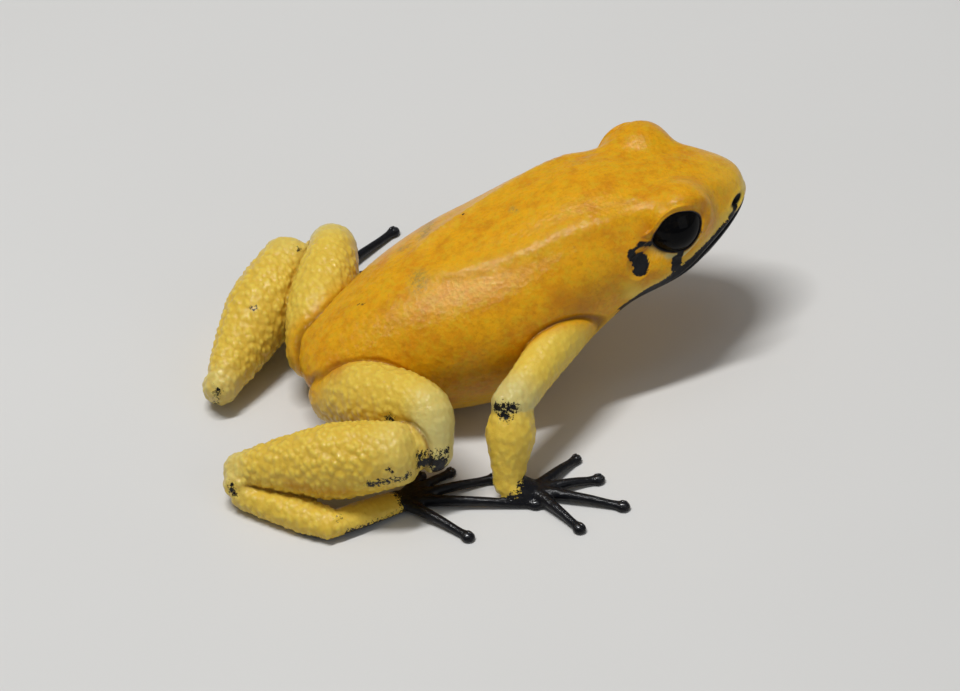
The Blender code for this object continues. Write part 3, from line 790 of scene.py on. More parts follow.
# height above the mouth line, width and rise: the lip, the jaw's edge, and the jaw set in below
LIP_SWELLS = [(0.42, 0.24, 0.10), (-0.4, 0.25, 0.05), (-1.2, 0.7, -0.18)]
# place, height, reach and rise: the mouth's corner, and the hollow behind the brow
HEAD_SWELLS = [(32.0, -2.6, 1.2, 0.28), (34.0, 3.2, 1.2, -0.16)]
NOSTRIL_DEPTH = 0.5
normals = normals_of(skin)
place, across, height = body_measure(places)
over = above_mouth(place, height)
push = -MOUTH_DEPTH * bell(over, 0, MOUTH_WIDTH)
for middle_height, width, rise in LIP_SWELLS:
    push += rise * bell(over, middle_height, width)
push *= ease((place - 31.6) / 2.2)
for at_place, at_height, reach, rise in HEAD_SWELLS:
    near = bell(np.hypot(place - at_place, height - at_height), 0, reach)
    push += rise * near * (np.abs(across) > 4)
slit = nostril_measure(place, height, across)
push += -NOSTRIL_DEPTH * bell(slit, 0, 0.95) + 0.10 * bell(slit, 1.9, 0.55)
drum = ear_measure(place, height, across) / TYMPANUM_RADIUS
push += -0.13 * (1 - ease((drum - 0.75) / 0.3)) + 0.06 * bell(drum, 1.12, 0.13)
push -= 0.05 * bell(drum, 0, 0.25)
on_head = place > 30.5
places = places + normals * (push * on_head)[:, None]
edges = edges_of(skin)
fresh = near_feature(places).astype(float)
places = clear_of_eyeballs(relax(places, edges, 2, hold=fresh * 0.7))
places[:, 2] = np.maximum(places[:, 2], 0.0)
put_places(skin, places)
print("mouth, nostrils and eardrums pressed in")

# %% [markdown]
# ## Folds and ridges
# Where a folded limb lies against the next one or against the body, real skin dips into a narrow
# crease. And along either side of the back runs a low ridge that catches the light as a line of
# small glints. Both are found by distance: to the limbs' centre lines, to the trunk, and to a line
# drawn along the back.

# %% Distances to limbs and marks
def nearest_on_line(points, line, radius):
    """Distance to a limb's centre line beyond its radius, and the share of its length."""
    everyone = len(points)
    reach = radius.max() + 2.0
    near = np.all((points > line.min(axis=0) - reach) & (points < line.max(axis=0) + reach), axis=1)
    points = points[near]
    best = np.full(len(points), 1e9)
    share = np.zeros(len(points))
    last = len(line) - 1
    for i in range(last):
        a, b = line[i], line[i + 1]
        t = np.clip((points - a) @ (b - a) / max((b - a) @ (b - a), 1e-9), 0, 1)
        gap = np.linalg.norm(points - a - t[:, None] * (b - a), axis=1)
        gap = gap - (radius[i] * (1 - t) + radius[i + 1] * t)
        closer = gap < best
        best = np.where(closer, gap, best)
        share = np.where(closer, (i + t) / last, share)
    gaps, shares = np.full(everyone, 9.0), np.zeros(everyone)
    gaps[near], shares[near] = best, share
    return gaps, shares


def capsule(points, a, b, radius_a, radius_b):
    """Distance outside a round-ended stroke from a to b, negative inside it."""
    a, b = np.array(a), np.array(b)
    t = np.clip((points - a) @ (b - a) / max((b - a) @ (b - a), 1e-9), 0, 1)
    away = np.linalg.norm(points - a - t[:, None] * (b - a), axis=1)
    return away - (radius_a + (radius_b - radius_a) * t)


# %% Fold the skin where two forms press together
FOLD_DEPTH, FOLD_WIDTH, FOLD_REACH = 0.30, 0.26, 0.4
FOLD_PAIRS = [
    ("thigh", "shank"), ("shank", "tarsus"),
    ("thigh", "trunk"), ("shank", "trunk"), ("upper_arm", "trunk"),
]


def outside_trunk(points):
    gaps = np.empty(len(points))
    for i, point in enumerate(points):
        near, normal, _, distance = trunk_surface.find_nearest(point)
        gaps[i] = distance if (Vector(point) - near).dot(normal) > 0 else -distance
    return gaps


def fold_share(points, trunk_gap):
    """1 in the crease between two forms, 0 away from it."""
    fold = np.zeros(len(points))
    for name in SIDES:
        gaps = {"trunk": trunk_gap}
        for kind in ("thigh", "shank", "tarsus", "upper_arm"):
            gaps[kind] = nearest_on_line(points, *limb_lines[kind + "_" + name])[0]
        for first, second in FOLD_PAIRS:
            apart = np.maximum(gaps[first], 0) + np.maximum(gaps[second], 0)
            close = bell(apart, 0, FOLD_REACH) * bell(gaps[first], gaps[second], FOLD_WIDTH)
            fold = np.maximum(fold, close)
    return fold * (1 - 0.5 * near_roots(points))


places, normals = places_of(skin), normals_of(skin)
fold = fold_share(places, outside_trunk(places))
places = places - normals * (FOLD_DEPTH * fold)[:, None]
places = relax(places, edges_of(skin), 2, hold=np.clip(fold * 2, 0, 1) * 0.6)
put_places(skin, places)
print("folds pressed in at", int((fold > 0.5).sum()), "points")

# %% Raise the low ridge along either side of the back
RIDGE = [
    (13.5, 1.0), (15.5, 1.7), (17.8, 3.0), (20.8, 3.8), (23.0, 4.25), (25.2, 4.7), (28.0, 4.85),
    (31.9, 5.45), (34.0, 5.5),
]  # place, and distance from the midline
RIDGE_HEIGHT, RIDGE_WIDTH = 0.32, 0.95
RIDGE_FADE = (4, 2.6)  # how long it takes to rise behind and to sink in front


def ridge_share(place, across, height):
    line = np.interp(place, [row[0] for row in RIDGE], [row[1] for row in RIDGE])
    share = bell(np.abs(across), line, RIDGE_WIDTH) * (height > 1)
    return share * ease((place - 13.5) / RIDGE_FADE[0]) * ease((33.4 - place) / RIDGE_FADE[1])


places, normals = places_of(skin), normals_of(skin)
ridge = ridge_share(*body_measure(places))
put_places(skin, places + normals * (RIDGE_HEIGHT * ridge)[:, None])
print("ridges raised at", int((ridge > 0.5).sum()), "points")

# %% [markdown]
# ## Where the skin changes
# The back is smooth and golden orange, the limbs are granular and lemon, knees and elbows fade to
# a pale green, and hands, feet, the lip, the eardrum and some patches are black. Instead of
# painting a picture, each point of the skin stores a few measures, such as how many millimetres
# it lies outside the nearest black mark. The finish reads them and frays their edges with noise.

# %% [markdown]
# ### Marks placed by sighting
# No rule gives the small black marks, since they differ from frog to frog. The camera stands at the
# photograph's angle, so a mark can be sighted: rays through two points of the picture meet the
# skin at the two ends of a stroke. From then on it is a place on the body and holds from every
# side. The marks of the head are mirrored to the side that the camera doesn't see.

# %% Marks placed by sighting: two picture points and the stroke's radius in mm
BLACK_STROKES = [
    ((418, 455), (447, 451), 0.25), ((421, 463), (443, 461), 0.55), ((425, 470), (440, 467), 0.7),
    ((430, 475), (443, 473), 0.7), ((370, 484), (408, 475), 0.32), ((388, 418), (391, 418), 0.3),
    ((496, 408), (513, 408), 0.42), ((502, 414), (508, 416), 0.36),
    ((231, 486), (233, 492), 0.3), ((254, 308), (254, 309), 0.16), ((211, 402), (216, 404), 0.25),
    ((358, 305), (365, 304), 0.1), ((389, 470), (390, 471), 0.14), ((409, 279), (411, 281), 0.06),
    ((337, 517), (339, 518), 0.08), ((298, 248), (299, 249), 0.07), ((463, 214), (464, 214), 0.05),
]
# on the head: from eye to eardrum, the eardrum, below the eye, from the nostril, before the eye
HEAD_STROKES = [
    ((650, 243.5), (640, 244), 0.24), ((639, 245), (632.5, 251.5), 0.15), ((631.5, 254), (632, 259), 0.42),
    ((638.5, 262.5), (639.5, 266.5), 0.92), ((681, 252), (679, 258), 0.28),
    ((676.8, 260), (675.8, 268), 0.52), ((735.5, 206), (730, 217), 0.20), ((699, 231), (701, 232.5), 0.10),
]
HEAD_NOTCHES = [((626.5, 269), (630, 266.5), 0.48)]  # yellow that bites into the eardrum's black
OLIVE_SPOTS = [
    ((418, 277), (419, 285), 0.8), ((512, 209), (515, 211), 0.3), ((396, 243), (401, 239), 0.35),
    ((418, 225), (430, 222), 0.6),
]
# painted shade: darker orange laid into hollows and creases
SHADED_HOLLOWS = [
    ((560, 298), (584, 306), 1.3), ((334, 364), (338, 372), 1.2), ((290, 484), (345, 492), 0.7),
    ((642, 234), (648, 226), 0.7), ((702, 213), (704, 204), 0.6), ((437, 247), (449, 238), 0.25),
]

# %% Sight them onto the skin
FROG_DISTANCE = 447  # from the camera
faces = [tuple(face.vertices) for face in skin.data.polygons]
skin_surface = BVHTree.FromPolygons([v.co.copy() for v in skin.data.vertices], faces)


def sight(pixel):
    hit = skin_surface.ray_cast(camera_place, sight_line(*pixel))[0]
    if hit is None:
        hit = skin_surface.find_nearest(camera_place + sight_line(*pixel) * FROG_DISTANCE)[0]
    return hit


sighted = {}
for label, strokes in (("black", BLACK_STROKES), ("olive", OLIVE_SPOTS), ("hollow_shade", SHADED_HOLLOWS)):
    sighted[label] = [(sight(a), sight(b), radius) for a, b, radius in strokes]
    print(len(strokes), label, "marks sighted onto the skin")
for label, strokes in (("head", HEAD_STROKES), ("notch", HEAD_NOTCHES)):
    sighted[label] = []
    for a, b, radius in strokes:
        a, b = sight(a), sight(b)
        for flip in (1, -1):
            here, there = Vector((a.x, flip * a.y, a.z)), Vector((b.x, flip * b.y, b.z))
            sighted[label].append((here, there, radius))


# %% Black marks of the head
def head_marks(place, across, height, points):
    """Millimetres outside the black of the head: its marks, and the nostril pits and eye sockets painted
    black as shade.
    """
    over = above_mouth(place, height)
    upper = np.interp(place, [29, 33, 36.5, 40, 43, 47], [0.60, 1.05, 1.10, 0.95, 0.66, 0.14])
    lower = np.interp(place, [29, 33, 36, 41, 47], [0.30, 0.90, 1.7, 2.0, 1.2])
    black = np.where(over > 0, over - upper, -over - lower) + 9 * (place < 29.5)
    for a, b, radius in sighted["head"]:
        black = np.minimum(black, capsule(points, a, b, radius, radius))
    for a, b, radius in sighted["notch"]:
        black = np.maximum(black, -capsule(points, a, b, radius, radius))
    # the nostril pits are painted black: painted shade in the pits
    slit = (nostril_measure(place, height, across) - 1.25) * NOSTRIL_SIZE[1]
    black = np.minimum(black, slit)
    # inside the lids' opening the socket skin is painted black: painted shade in the gap round the eyeball
    for side in SIDES.values():
        away, off_gaze, rim, around = lid_measure(points, side)
        near = away < 5
        edge = (rim - 1.0) * 2.4
        black = np.where(near, np.minimum(black, edge), black)
    return black


# %% Black, granules and pale joints of the limbs
def limb_marks(points):
    """Millimetres outside the black of hands and feet, and how granular and pale a point is."""
    black = np.full(len(points), 9.0)
    grain = np.zeros(len(points))
    pale = np.zeros(len(points))
    closest = np.full(len(points), 1e9)
    for name, (line, radius) in limb_lines.items():
        gap, share = nearest_on_line(points, line, radius)
        mine = gap < closest
        closest = np.where(mine, gap, closest)
        axis_z = np.interp(share, np.linspace(0, 1, len(line)), line[:, 2])
        above = points[:, 2] - axis_z
        kind = name.rsplit("_", 1)[0]
        if name.startswith(("toe", "finger")):
            value, rough, light = np.full(len(points), -1.2), 0.0, 0.0
        elif kind == "sole":
            value, rough, light = np.minimum(above + 0.1, (0.92 - share) * 6), 0.4, 0.0
        elif kind == "palm":
            value, rough, light = np.minimum(above - 0.2, (0.4 - share) * 3), 0.1, 0.0
        elif kind == "tarsus":
            value = above + 0.75 + 1.6 * (1 - ease((share - 0.35) / 0.5))
            rough, light = 0.75, 0.2 * (1 - ease(share / 0.2))
        elif kind == "forearm":
            value = 9 - 8.6 * ease((share - 0.75) / 0.25) * ease((0.6 - above) / 0.8)
            rough, light = 0.55, 0.3 * (1 - ease(share / 0.3))
        elif kind == "shank":
            value = np.full(len(points), 9.0)
            rough = 1 - 0.5 * (1 - ease(share / 0.2)) - 0.3 * ease((share - 0.85) / 0.15)
            light = 0.25 * (1 - ease(share / 0.2)) + 0.5 * ease((share - 0.82) / 0.18)
        elif kind == "thigh":
            value, rough = np.full(len(points), 9.0), 0.8 - 0.5 * ease((share - 0.5) / 0.3)
            light = 0.8 * ease((share - 0.6) / 0.3)
        else:
            value, rough = np.full(len(points), 9.0), 0.3 + 0.2 * share
            light = 0.8 * ease((share - 0.7) / 0.3)
        black = np.where(mine, value, black)
        grain = np.where(mine, rough, grain)
        pale = np.where(mine, light, pale)
    return black, grain, pale


# %% All measures of a point of the skin
def skin_measures(points):
    """What the finish reads at each point; on_limb is 0 on head and trunk and 1 out on a limb."""
    place, across, height = body_measure(points)
    gap = outside_trunk(points)
    on_limb = ease((gap + 0.1) / 1.6) * (1 - ease((place - 29.5) / 1.5) * (height > -7))
    black, grain, pale = limb_marks(points)
    black = np.where(on_limb > 0.25, black, 9.0)
    in_head = (place > 29) & (on_limb < 0.7)
    black = np.where(in_head, np.minimum(black, head_marks(place, across, height, points)), black)
    for a, b, radius in sighted["black"]:
        black = np.minimum(black, capsule(points, a, b, radius, radius))
    fold = fold_share(points, gap)
    # painted shade in the sighted hollows and creases
    hollow_shade = np.zeros(len(points))
    for a, b, radius in sighted["hollow_shade"]:
        hollow_shade = np.maximum(hollow_shade, 1 - ease(capsule(points, a, b, 0, 0) / (radius * 1.6)))
    olive = np.zeros(len(points))
    for a, b, radius in sighted["olive"]:
        olive = np.maximum(olive, 1 - ease(capsule(points, a, b, 0, 0) / (radius * 2)))
    lip = bell(above_mouth(place, height), 0.95, 0.55) * (place > 32) * (1 - on_limb)
    belly = ease((-height - 3.5) / 3.5) * (1 - on_limb)  # lemon below the widest line
    snout = ease((place - 41) / 5) * (1 - on_limb)
    corner = bell(np.hypot(place - 32.0, height + 2.6), 0, 1.1) * (np.abs(across) > 4)
    body_grain = 0.30 * (1 - ease((place - 8) / 10)) + 0.30 * ridge_share(place, across, height)
    fray = 0.3 + 0.8 * on_limb
    fray = np.where(nostril_measure(place, height, across) < 2.5, 0.0, fray)
    rim_line = np.zeros(len(points))
    for side in SIDES.values():
        away, off_gaze, rim, around = lid_measure(points, side)
        fray = np.where((away < 5) & (rim < 1.16), 0.0, fray)
        low = (1 - ease((away - 3.3) / 0.5)) * (around > 190) * (around < 330)
        rim_line = np.maximum(rim_line, low * bell(rim, 1.10, 0.08))
    return {
        "black": black, "fray": fray,
        "lemon": np.clip(on_limb + 0.7 * lip + 0.35 * snout + 0.8 * corner, 0, 1),
        "grain": grain * on_limb + (1 - on_limb) * body_grain,
        "pale": np.clip(pale * on_limb + 1.1 * rim_line + 0.08 * lip, 0, 1),
        "hollow_shade": hollow_shade, "olive": olive, "belly": belly, "fold": fold,
    }


# %% Store measures on a mesh
def store(obj, measures):
    for name, values in measures.items():
        layer = obj.data.attributes.get(name)
        if layer is None:
            layer = obj.data.attributes.new(name, "FLOAT", "POINT")
        layer.data.foreach_set("value", values.astype(np.float32))


measures = skin_measures(places_of(skin))
store(skin, measures)
print("share of black skin:", round(float((measures["black"] < 0).mean()), 3))

# %% [markdown]
# ## Granules and fine wrinkles
# The skin of the shanks is set with low rounded granules, like fine pebble leather, and the rest
# has faint wrinkles that break up the highlights. Both repeat by a rule, so Geometry Nodes make
# them: a Voronoi pattern raises one dome for each cell, a noise pattern adds the wrinkles, and the
# stored measure "grain" says how strong the domes are.

# %% Small helpers for node trees
def add_node(tree, kind, inputs=None, **settings):
    """Adds a node; an input may be a value or another node's output."""
    made = tree.nodes.new(kind)
    for key, value in settings.items():
        setattr(made, key, value)
    for key, value in (inputs or {}).items():
        if isinstance(value, bpy.types.NodeSocket):
            tree.links.new(value, made.inputs[key])
        else:
            made.inputs[key].default_value = value
    return made


def math_node(tree, operation, *values, clamp=False):
    made = tree.nodes.new("ShaderNodeMath")
    made.operation = operation
    made.use_clamp = clamp
    for socket, value in zip(made.inputs, values):
        if isinstance(value, bpy.types.NodeSocket):
            tree.links.new(value, socket)
        else:
            socket.default_value = value
    return made.outputs[0]


def geometry_tree(name, sizes):
    """A Geometry Nodes tree with one named float input for each size."""
    tree = bpy.data.node_groups.new(name, "GeometryNodeTree")
    tree.interface.new_socket("Geometry", in_out="INPUT", socket_type="NodeSocketGeometry")
    for label, value in sizes.items():
        socket = tree.interface.new_socket(label, in_out="INPUT", socket_type="NodeSocketFloat")
        socket.default_value = value
    tree.interface.new_socket("Geometry", in_out="OUTPUT", socket_type="NodeSocketGeometry")
    return tree, tree.nodes.new("NodeGroupInput"), tree.nodes.new("NodeGroupOutput")


def run_tree(obj, tree, sizes):
    modifier = obj.modifiers.new(tree.name, "NODES")
    modifier.node_group = tree
    for item in tree.interface.items_tree:
        if item.item_type == "SOCKET" and item.in_out == "INPUT" and item.name in sizes:
            modifier[item.identifier] = sizes[item.name]
    return bake_modifiers(obj)


def finish_tree(tree, geometry, material, output):
    real = add_node(tree, "GeometryNodeRealizeInstances", {"Geometry": geometry})
    coated = {"Geometry": real.outputs[0], "Material": material}
    coat = add_node(tree, "GeometryNodeSetMaterial", coated)
    tree.links.new(coat.outputs[0], output.inputs[0])


def named(tree, name, kind="FLOAT"):
    """Reads a stored measure."""
    inputs = {"Name": name}
    return add_node(tree, "GeometryNodeInputNamedAttribute", inputs, data_type=kind).outputs[0]


# %% The granule tree
skin_finish = bpy.data.materials.new("frog_skin_finish")
GRANULES = {
    "Granule size": 0.62, "Granule height": 0.18, "Wrinkle size": 1.3, "Wrinkle height": 0.06,
    "Seed": 7.0,
}
GRANULE_SOFTNESS = 0.45
DOME_EDGE = 0.62  # distance from a cell's middle, in cells, where its dome meets the skin
RIPPLE = Vector((1.25, 0.9, 0.9))  # granules are shorter along the frog than across it
tree, given, output = geometry_tree("skin_granules", GRANULES)
where = add_node(tree, "GeometryNodeInputPosition")
grain, ink = named(tree, "grain"), named(tree, "black")
seed = given.outputs["Seed"]
shift = add_node(tree, "ShaderNodeCombineXYZ", {"X": seed, "Y": seed})
both = {0: where.outputs[0], 1: shift.outputs[0]}
moved = add_node(tree, "ShaderNodeVectorMath", both, operation="ADD")
both = {0: moved.outputs[0], 1: RIPPLE}
rippled = add_node(tree, "ShaderNodeVectorMath", both, operation="MULTIPLY")
fine = math_node(tree, "DIVIDE", 1.0, given.outputs["Granule size"])
inputs = {"Vector": rippled.outputs[0], "Scale": fine, "Smoothness": GRANULE_SOFTNESS}
cells = add_node(tree, "ShaderNodeTexVoronoi", inputs, feature="SMOOTH_F1")
dome = math_node(tree, "SUBTRACT", DOME_EDGE, cells.outputs["Distance"])
dome = math_node(tree, "MULTIPLY", dome, math_node(tree, "MULTIPLY", grain, 1.6))
dome = math_node(tree, "MULTIPLY", dome, given.outputs["Granule height"])

# %% Wrinkles, and the points moved by both; black skin stays calm
coarse = math_node(tree, "DIVIDE", 1.0, given.outputs["Wrinkle size"])
inputs = {"Vector": moved.outputs[0], "Scale": coarse, "Detail": 3.0, "Roughness": 0.55}
waves = add_node(tree, "ShaderNodeTexNoise", inputs)
wrinkle = math_node(tree, "SUBTRACT", waves.outputs[0], 0.5)
wrinkle = math_node(tree, "MULTIPLY", wrinkle, given.outputs["Wrinkle height"])
calm = math_node(tree, "MULTIPLY", math_node(tree, "ADD", ink, 0.5), 2.0, clamp=True)
rise = math_node(tree, "MULTIPLY", math_node(tree, "ADD", dome, wrinkle), calm)
normal = add_node(tree, "GeometryNodeInputNormal")
both = {0: normal.outputs[0], "Scale": rise}
offset = add_node(tree, "ShaderNodeVectorMath", both, operation="SCALE")
moves = {"Geometry": given.outputs["Geometry"], "Offset": offset.outputs[0]}
lifted = add_node(tree, "GeometryNodeSetPosition", moves)
finish_tree(tree, lifted.outputs[0], skin_finish, output)
run_tree(skin, tree, GRANULES)
print("granules raised on", len(skin.data.vertices), "points")

# %% [markdown]
# ### A lighter mesh
# On calm skin the fused grid is finer than it needs to be. Collapsing edges thins it there and
# keeps the granules and the lids, so the piece stays under 200,000 triangles. The measures are
# stored again afterwards, because the points are new.

# %% Bring the skin under the triangle limit, keeping the detail
SKIN_TRIANGLES = 186000
skin.data.calc_loop_triangles()
share = SKIN_TRIANGLES / len(skin.data.loop_triangles)
if share < 1:
    thin = skin.modifiers.new("thin", "DECIMATE")
    thin.ratio = share
    thin.use_collapse_triangulate = True
    bake_modifiers(skin)
places = places_of(skin)
places[:, 2] = np.maximum(places[:, 2], 0.0)
put_places(skin, places)
store(skin, skin_measures(places))
skin.data.calc_loop_triangles()
print("skin has", len(skin.data.loop_triangles), "triangles")


# %% [markdown]
# ## The skin's finish
# Poison frog skin is moist: a thin clear film lies over colour that glows a little from within.
# So the finish has slight scattering under the surface and a glossy coat. The colours are mixed
# from the stored measures, and two scales of noise keep any area from being flat.

# %% Colour of the skin
GOLDEN = (0.78, 0.375, 0.005)
GOLDEN_DEEP = (0.66, 0.25, 0.003)
GOLDEN_DARK = (0.46, 0.185, 0.002)
LEMON = (0.78, 0.55, 0.075)
# lighter lemon of the painted highlight on granule tops, and deeper lemon of the painted shade between
# them
LEMON_HIGHLIGHT = (0.82, 0.64, 0.14)
LEMON_SHADE = (0.56, 0.27, 0.008)
PALE = (0.60, 0.57, 0.26)
SHADE = (0.16, 0.05, 0.003)
OCHRE = (0.66, 0.40, 0.012)
BLACK = (0.006, 0.006, 0.008)
# colour of the painted shade in hollows and creases
HOLLOW_SHADE = (0.50, 0.16, 0.004)
OLIVE = (0.24, 0.20, 0.06)


# %% Helpers for finishes
def rgba(colour):
    return (*colour, 1.0)


def open_finish(material):
    """The finish's nodes, its shader, and the object's coordinates in metres and millimetres."""
    material.use_nodes = True
    nodes = material.node_tree
    at = add_node(nodes, "ShaderNodeTexCoord").outputs["Object"]
    in_mm = add_node(nodes, "ShaderNodeMapping", {"Vector": at, "Scale": (1 / MM,) * 3}).outputs[0]
    return nodes, nodes.nodes["Principled BSDF"], at, in_mm


paint, shader, at, in_mm = open_finish(skin_finish)


def stored(name):
    return add_node(paint, "ShaderNodeAttribute", attribute_name=name).outputs["Fac"]


def noise(scale, detail=4.0, roughness=0.55):
    inputs = {"Vector": in_mm, "Scale": scale, "Detail": detail, "Roughness": roughness}
    return add_node(paint, "ShaderNodeTexNoise", inputs).outputs["Fac"]


def ramp(value, low, high):
    """0 below low, 1 above high."""
    inputs = {"Value": value, "From Min": low, "From Max": high}
    return add_node(paint, "ShaderNodeMapRange", inputs, interpolation_type="SMOOTHSTEP").outputs[0]


def mix(share, first, second):
    made = paint.nodes.new("ShaderNodeMix")
    made.data_type = "RGBA"
    for socket, value in ((made.inputs[0], share), (made.inputs[6], first), (made.inputs[7], second)):
        if isinstance(value, bpy.types.NodeSocket):
            paint.links.new(value, socket)
        else:
            socket.default_value = value
    return made.outputs[2]


def times(first, second):
    return math_node(paint, "MULTIPLY", first, second)


def tint(share, strength, before, towards):
    """Moves a colour towards another one, by a share that is at most strength."""
    return mix(times(share, strength), before, rgba(towards))


# %% Colours mixed from noise and the stored measures
mottle, speckle = noise(0.38, 5.0, 0.6), noise(3.2, 6.0, 0.75)
colour = mix(ramp(mottle, 0.25, 0.60), rgba(GOLDEN_DEEP), rgba(GOLDEN))
colour = tint(ramp(speckle, 0.48, 0.68), 0.45, colour, GOLDEN_DARK)
colour = tint(ramp(noise(0.95, 5.0, 0.65), 0.44, 0.66), 0.38, colour, GOLDEN_DARK)
colour = tint(ramp(noise(1.5, 5.0, 0.7), 0.46, 0.64), 0.6, colour, OCHRE)
colour = mix(times(stored("lemon"), ramp(mottle, -0.15, 0.40)), colour, rgba(LEMON))
colour = tint(stored("belly"), 0.45, colour, LEMON)
colour = tint(stored("pale"), 0.85, colour, PALE)
# painted shade in hollows and creases
colour = tint(stored("hollow_shade"), 0.55, colour, HOLLOW_SHADE)
colour = tint(times(stored("olive"), ramp(speckle, 0.35, 0.6)), 0.7, colour, OLIVE)

# %% Painted highlight on the granules' tops, painted shade between them and in the folds, and black that frays at its edge
seed = GRANULES["Seed"]
same_place = (middle + Vector((seed, seed, 0))) * RIPPLE  # where the granule tree saw this point
moved_mm = {"Vector": at, "Location": same_place, "Scale": RIPPLE * 1000}
granule_place = add_node(paint, "ShaderNodeMapping", moved_mm)
inputs = {
    "Vector": granule_place.outputs[0],
    "Scale": 1 / GRANULES["Granule size"],
    "Smoothness": GRANULE_SOFTNESS,
}
cells = add_node(paint, "ShaderNodeTexVoronoi", inputs, feature="SMOOTH_F1").outputs["Distance"]
between = ramp(cells, 0.30, DOME_EDGE)
top_highlight = math_node(paint, "SUBTRACT", 1.0, ramp(cells, 0.12, 0.36))
# painted highlight: lighter lemon on the granules' tops
colour = tint(times(top_highlight, stored("grain")), 0.14, colour, LEMON_HIGHLIGHT)
# painted shade darkens the creases where two forms press together
colour = tint(stored("fold"), 0.75, colour, SHADE)
# painted shade: deeper colour between the granules
colour = tint(times(between, stored("grain")), 0.30, colour, LEMON_SHADE)
fray = times(math_node(paint, "SUBTRACT", noise(3.6, 5.0, 0.75), 0.5), 2.6)
edge = math_node(paint, "ADD", stored("black"), times(fray, stored("fray")))
ink = math_node(paint, "SUBTRACT", 1.0, ramp(edge, -0.04, 0.08))
colour = mix(ink, colour, rgba(BLACK))
paint.links.new(colour, shader.inputs["Base Color"])

# %% Wetness and fine relief
pores = add_node(paint, "ShaderNodeTexVoronoi", {"Vector": in_mm, "Scale": 2.1}, feature="F1")
pores = times(pores.outputs["Distance"], 0.55)
relief = math_node(paint, "ADD", times(noise(3.6, 6.0, 0.65), 0.7), pores)
relief = math_node(paint, "SUBTRACT", relief, times(times(cells, stored("grain")), 1.2))
bump = add_node(paint, "ShaderNodeBump", {"Height": relief, "Strength": 0.6, "Distance": 0.00012})
paint.links.new(bump.outputs[0], shader.inputs["Normal"])
paint.links.new(bump.outputs[0], shader.inputs["Coat Normal"])
dry = math_node(paint, "ADD", times(noise(1.1), 0.20), 0.28)
paint.links.new(dry, shader.inputs["Roughness"])
shader.inputs["Subsurface Weight"].default_value = 0.12
shader.inputs["Subsurface Radius"].default_value = (1.0, 0.45, 0.1)
shader.inputs["Subsurface Scale"].default_value = 0.0009
shader.inputs["Coat Weight"].default_value = 0.40
shader.inputs["Coat Roughness"].default_value = 0.10
shader.inputs["Coat IOR"].default_value = 1.42
shader.inputs["Specular IOR Level"].default_value = 0.10
print("skin finish has", len(paint.nodes), "nodes")

# %% [markdown]
# ## Eyes
# In this species the iris is so dark that the whole eye looks like a wet black bead. The ball is a
# fine sphere with a slightly raised cornea where it looks out. A barely lighter iris round the
# pupil keeps it from being a hole, and a very smooth surface gives it a wet shine.

# %% Shape the eyeballs
CORNEA_RISE, CORNEA_SPREAD = 0.08, 0.8  # in mm, and the angle off the gaze where it ends
BALL_RADIUS = 2.96
eyeballs = []
for name, side in SIDES.items():
    ball = ellipsoid("eyeball_" + name, on_body(EYEBALL, side), (BALL_RADIUS,) * 3, divisions=6)
    points = places_of(ball)
    away, off_gaze, rim, around = lid_measure(points, side)
    centre = np.array(on_body(EYEBALL, side))
    swell = 1 + CORNEA_RISE / BALL_RADIUS * (1 - ease(off_gaze / CORNEA_SPREAD))
    put_places(ball, centre + (points - centre) * swell[:, None])
    store(ball, {"off_gaze": off_gaze})
    eyeballs.append(ball)
    print(ball.name, "radius", BALL_RADIUS, "mm")

# %% Finish of the eyeballs
eye_finish = bpy.data.materials.new("wet_black_eye")
paint, shader, at, in_mm = open_finish(eye_finish)
PUPIL, IRIS = (0.0025, 0.0025, 0.003), (0.006, 0.005, 0.004)
ring = times(ramp(stored("off_gaze"), 0.42, 0.47), ramp(noise(3.0, 6.0, 0.7), 0.4, 0.65))
paint.links.new(mix(ring, rgba(PUPIL), rgba(IRIS)), shader.inputs["Base Color"])
shader.inputs["Roughness"].default_value = 0.05
shader.inputs["Specular IOR Level"].default_value = 0.07
for ball in eyeballs:
    ball.data.materials.append(eye_finish)

# %% [markdown]
# ## Pads on the fingertips
# Poison frogs carry a pair of small flat pads, called scutes, on top of every disc. Eighteen discs
# with two pads each repeat one shape, so a Geometry Nodes tree puts a flattened ball on each
# marked point, turned along its digit, and then makes the copies real.

# %% Mark where the pads sit
PAD_ASIDE, PAD_AHEAD, PAD_LIFT = 0.25, 0.10, 0.40
PAD_ROLL, PAD_DIP = 0.35, 0.12  # each pad leans outwards and forwards with the disc, in radians
bm = bmesh.new()
turns, scales = [], []
for centre, heading, scale in disc_places:
    along = Vector((math.cos(heading), math.sin(heading), 0))
    aside = Vector((-along.y, along.x, 0))
    for hand in (-1, 1):
        spot = centre + along * PAD_AHEAD * scale + aside * hand * PAD_ASIDE * scale
        bm.verts.new(spot + Vector((0, 0, PAD_LIFT)))
        turns.append((hand * -PAD_ROLL, PAD_DIP, heading))
        scales.append(scale)
pads = new_object("toe_pads", bm)
layer = pads.data.attributes.new("turn", "FLOAT_VECTOR", "POINT")
layer.data.foreach_set("vector", np.array(turns, dtype=np.float32).ravel())
store(pads, {"scale": np.array(scales)})
print(len(scales), "pads marked")

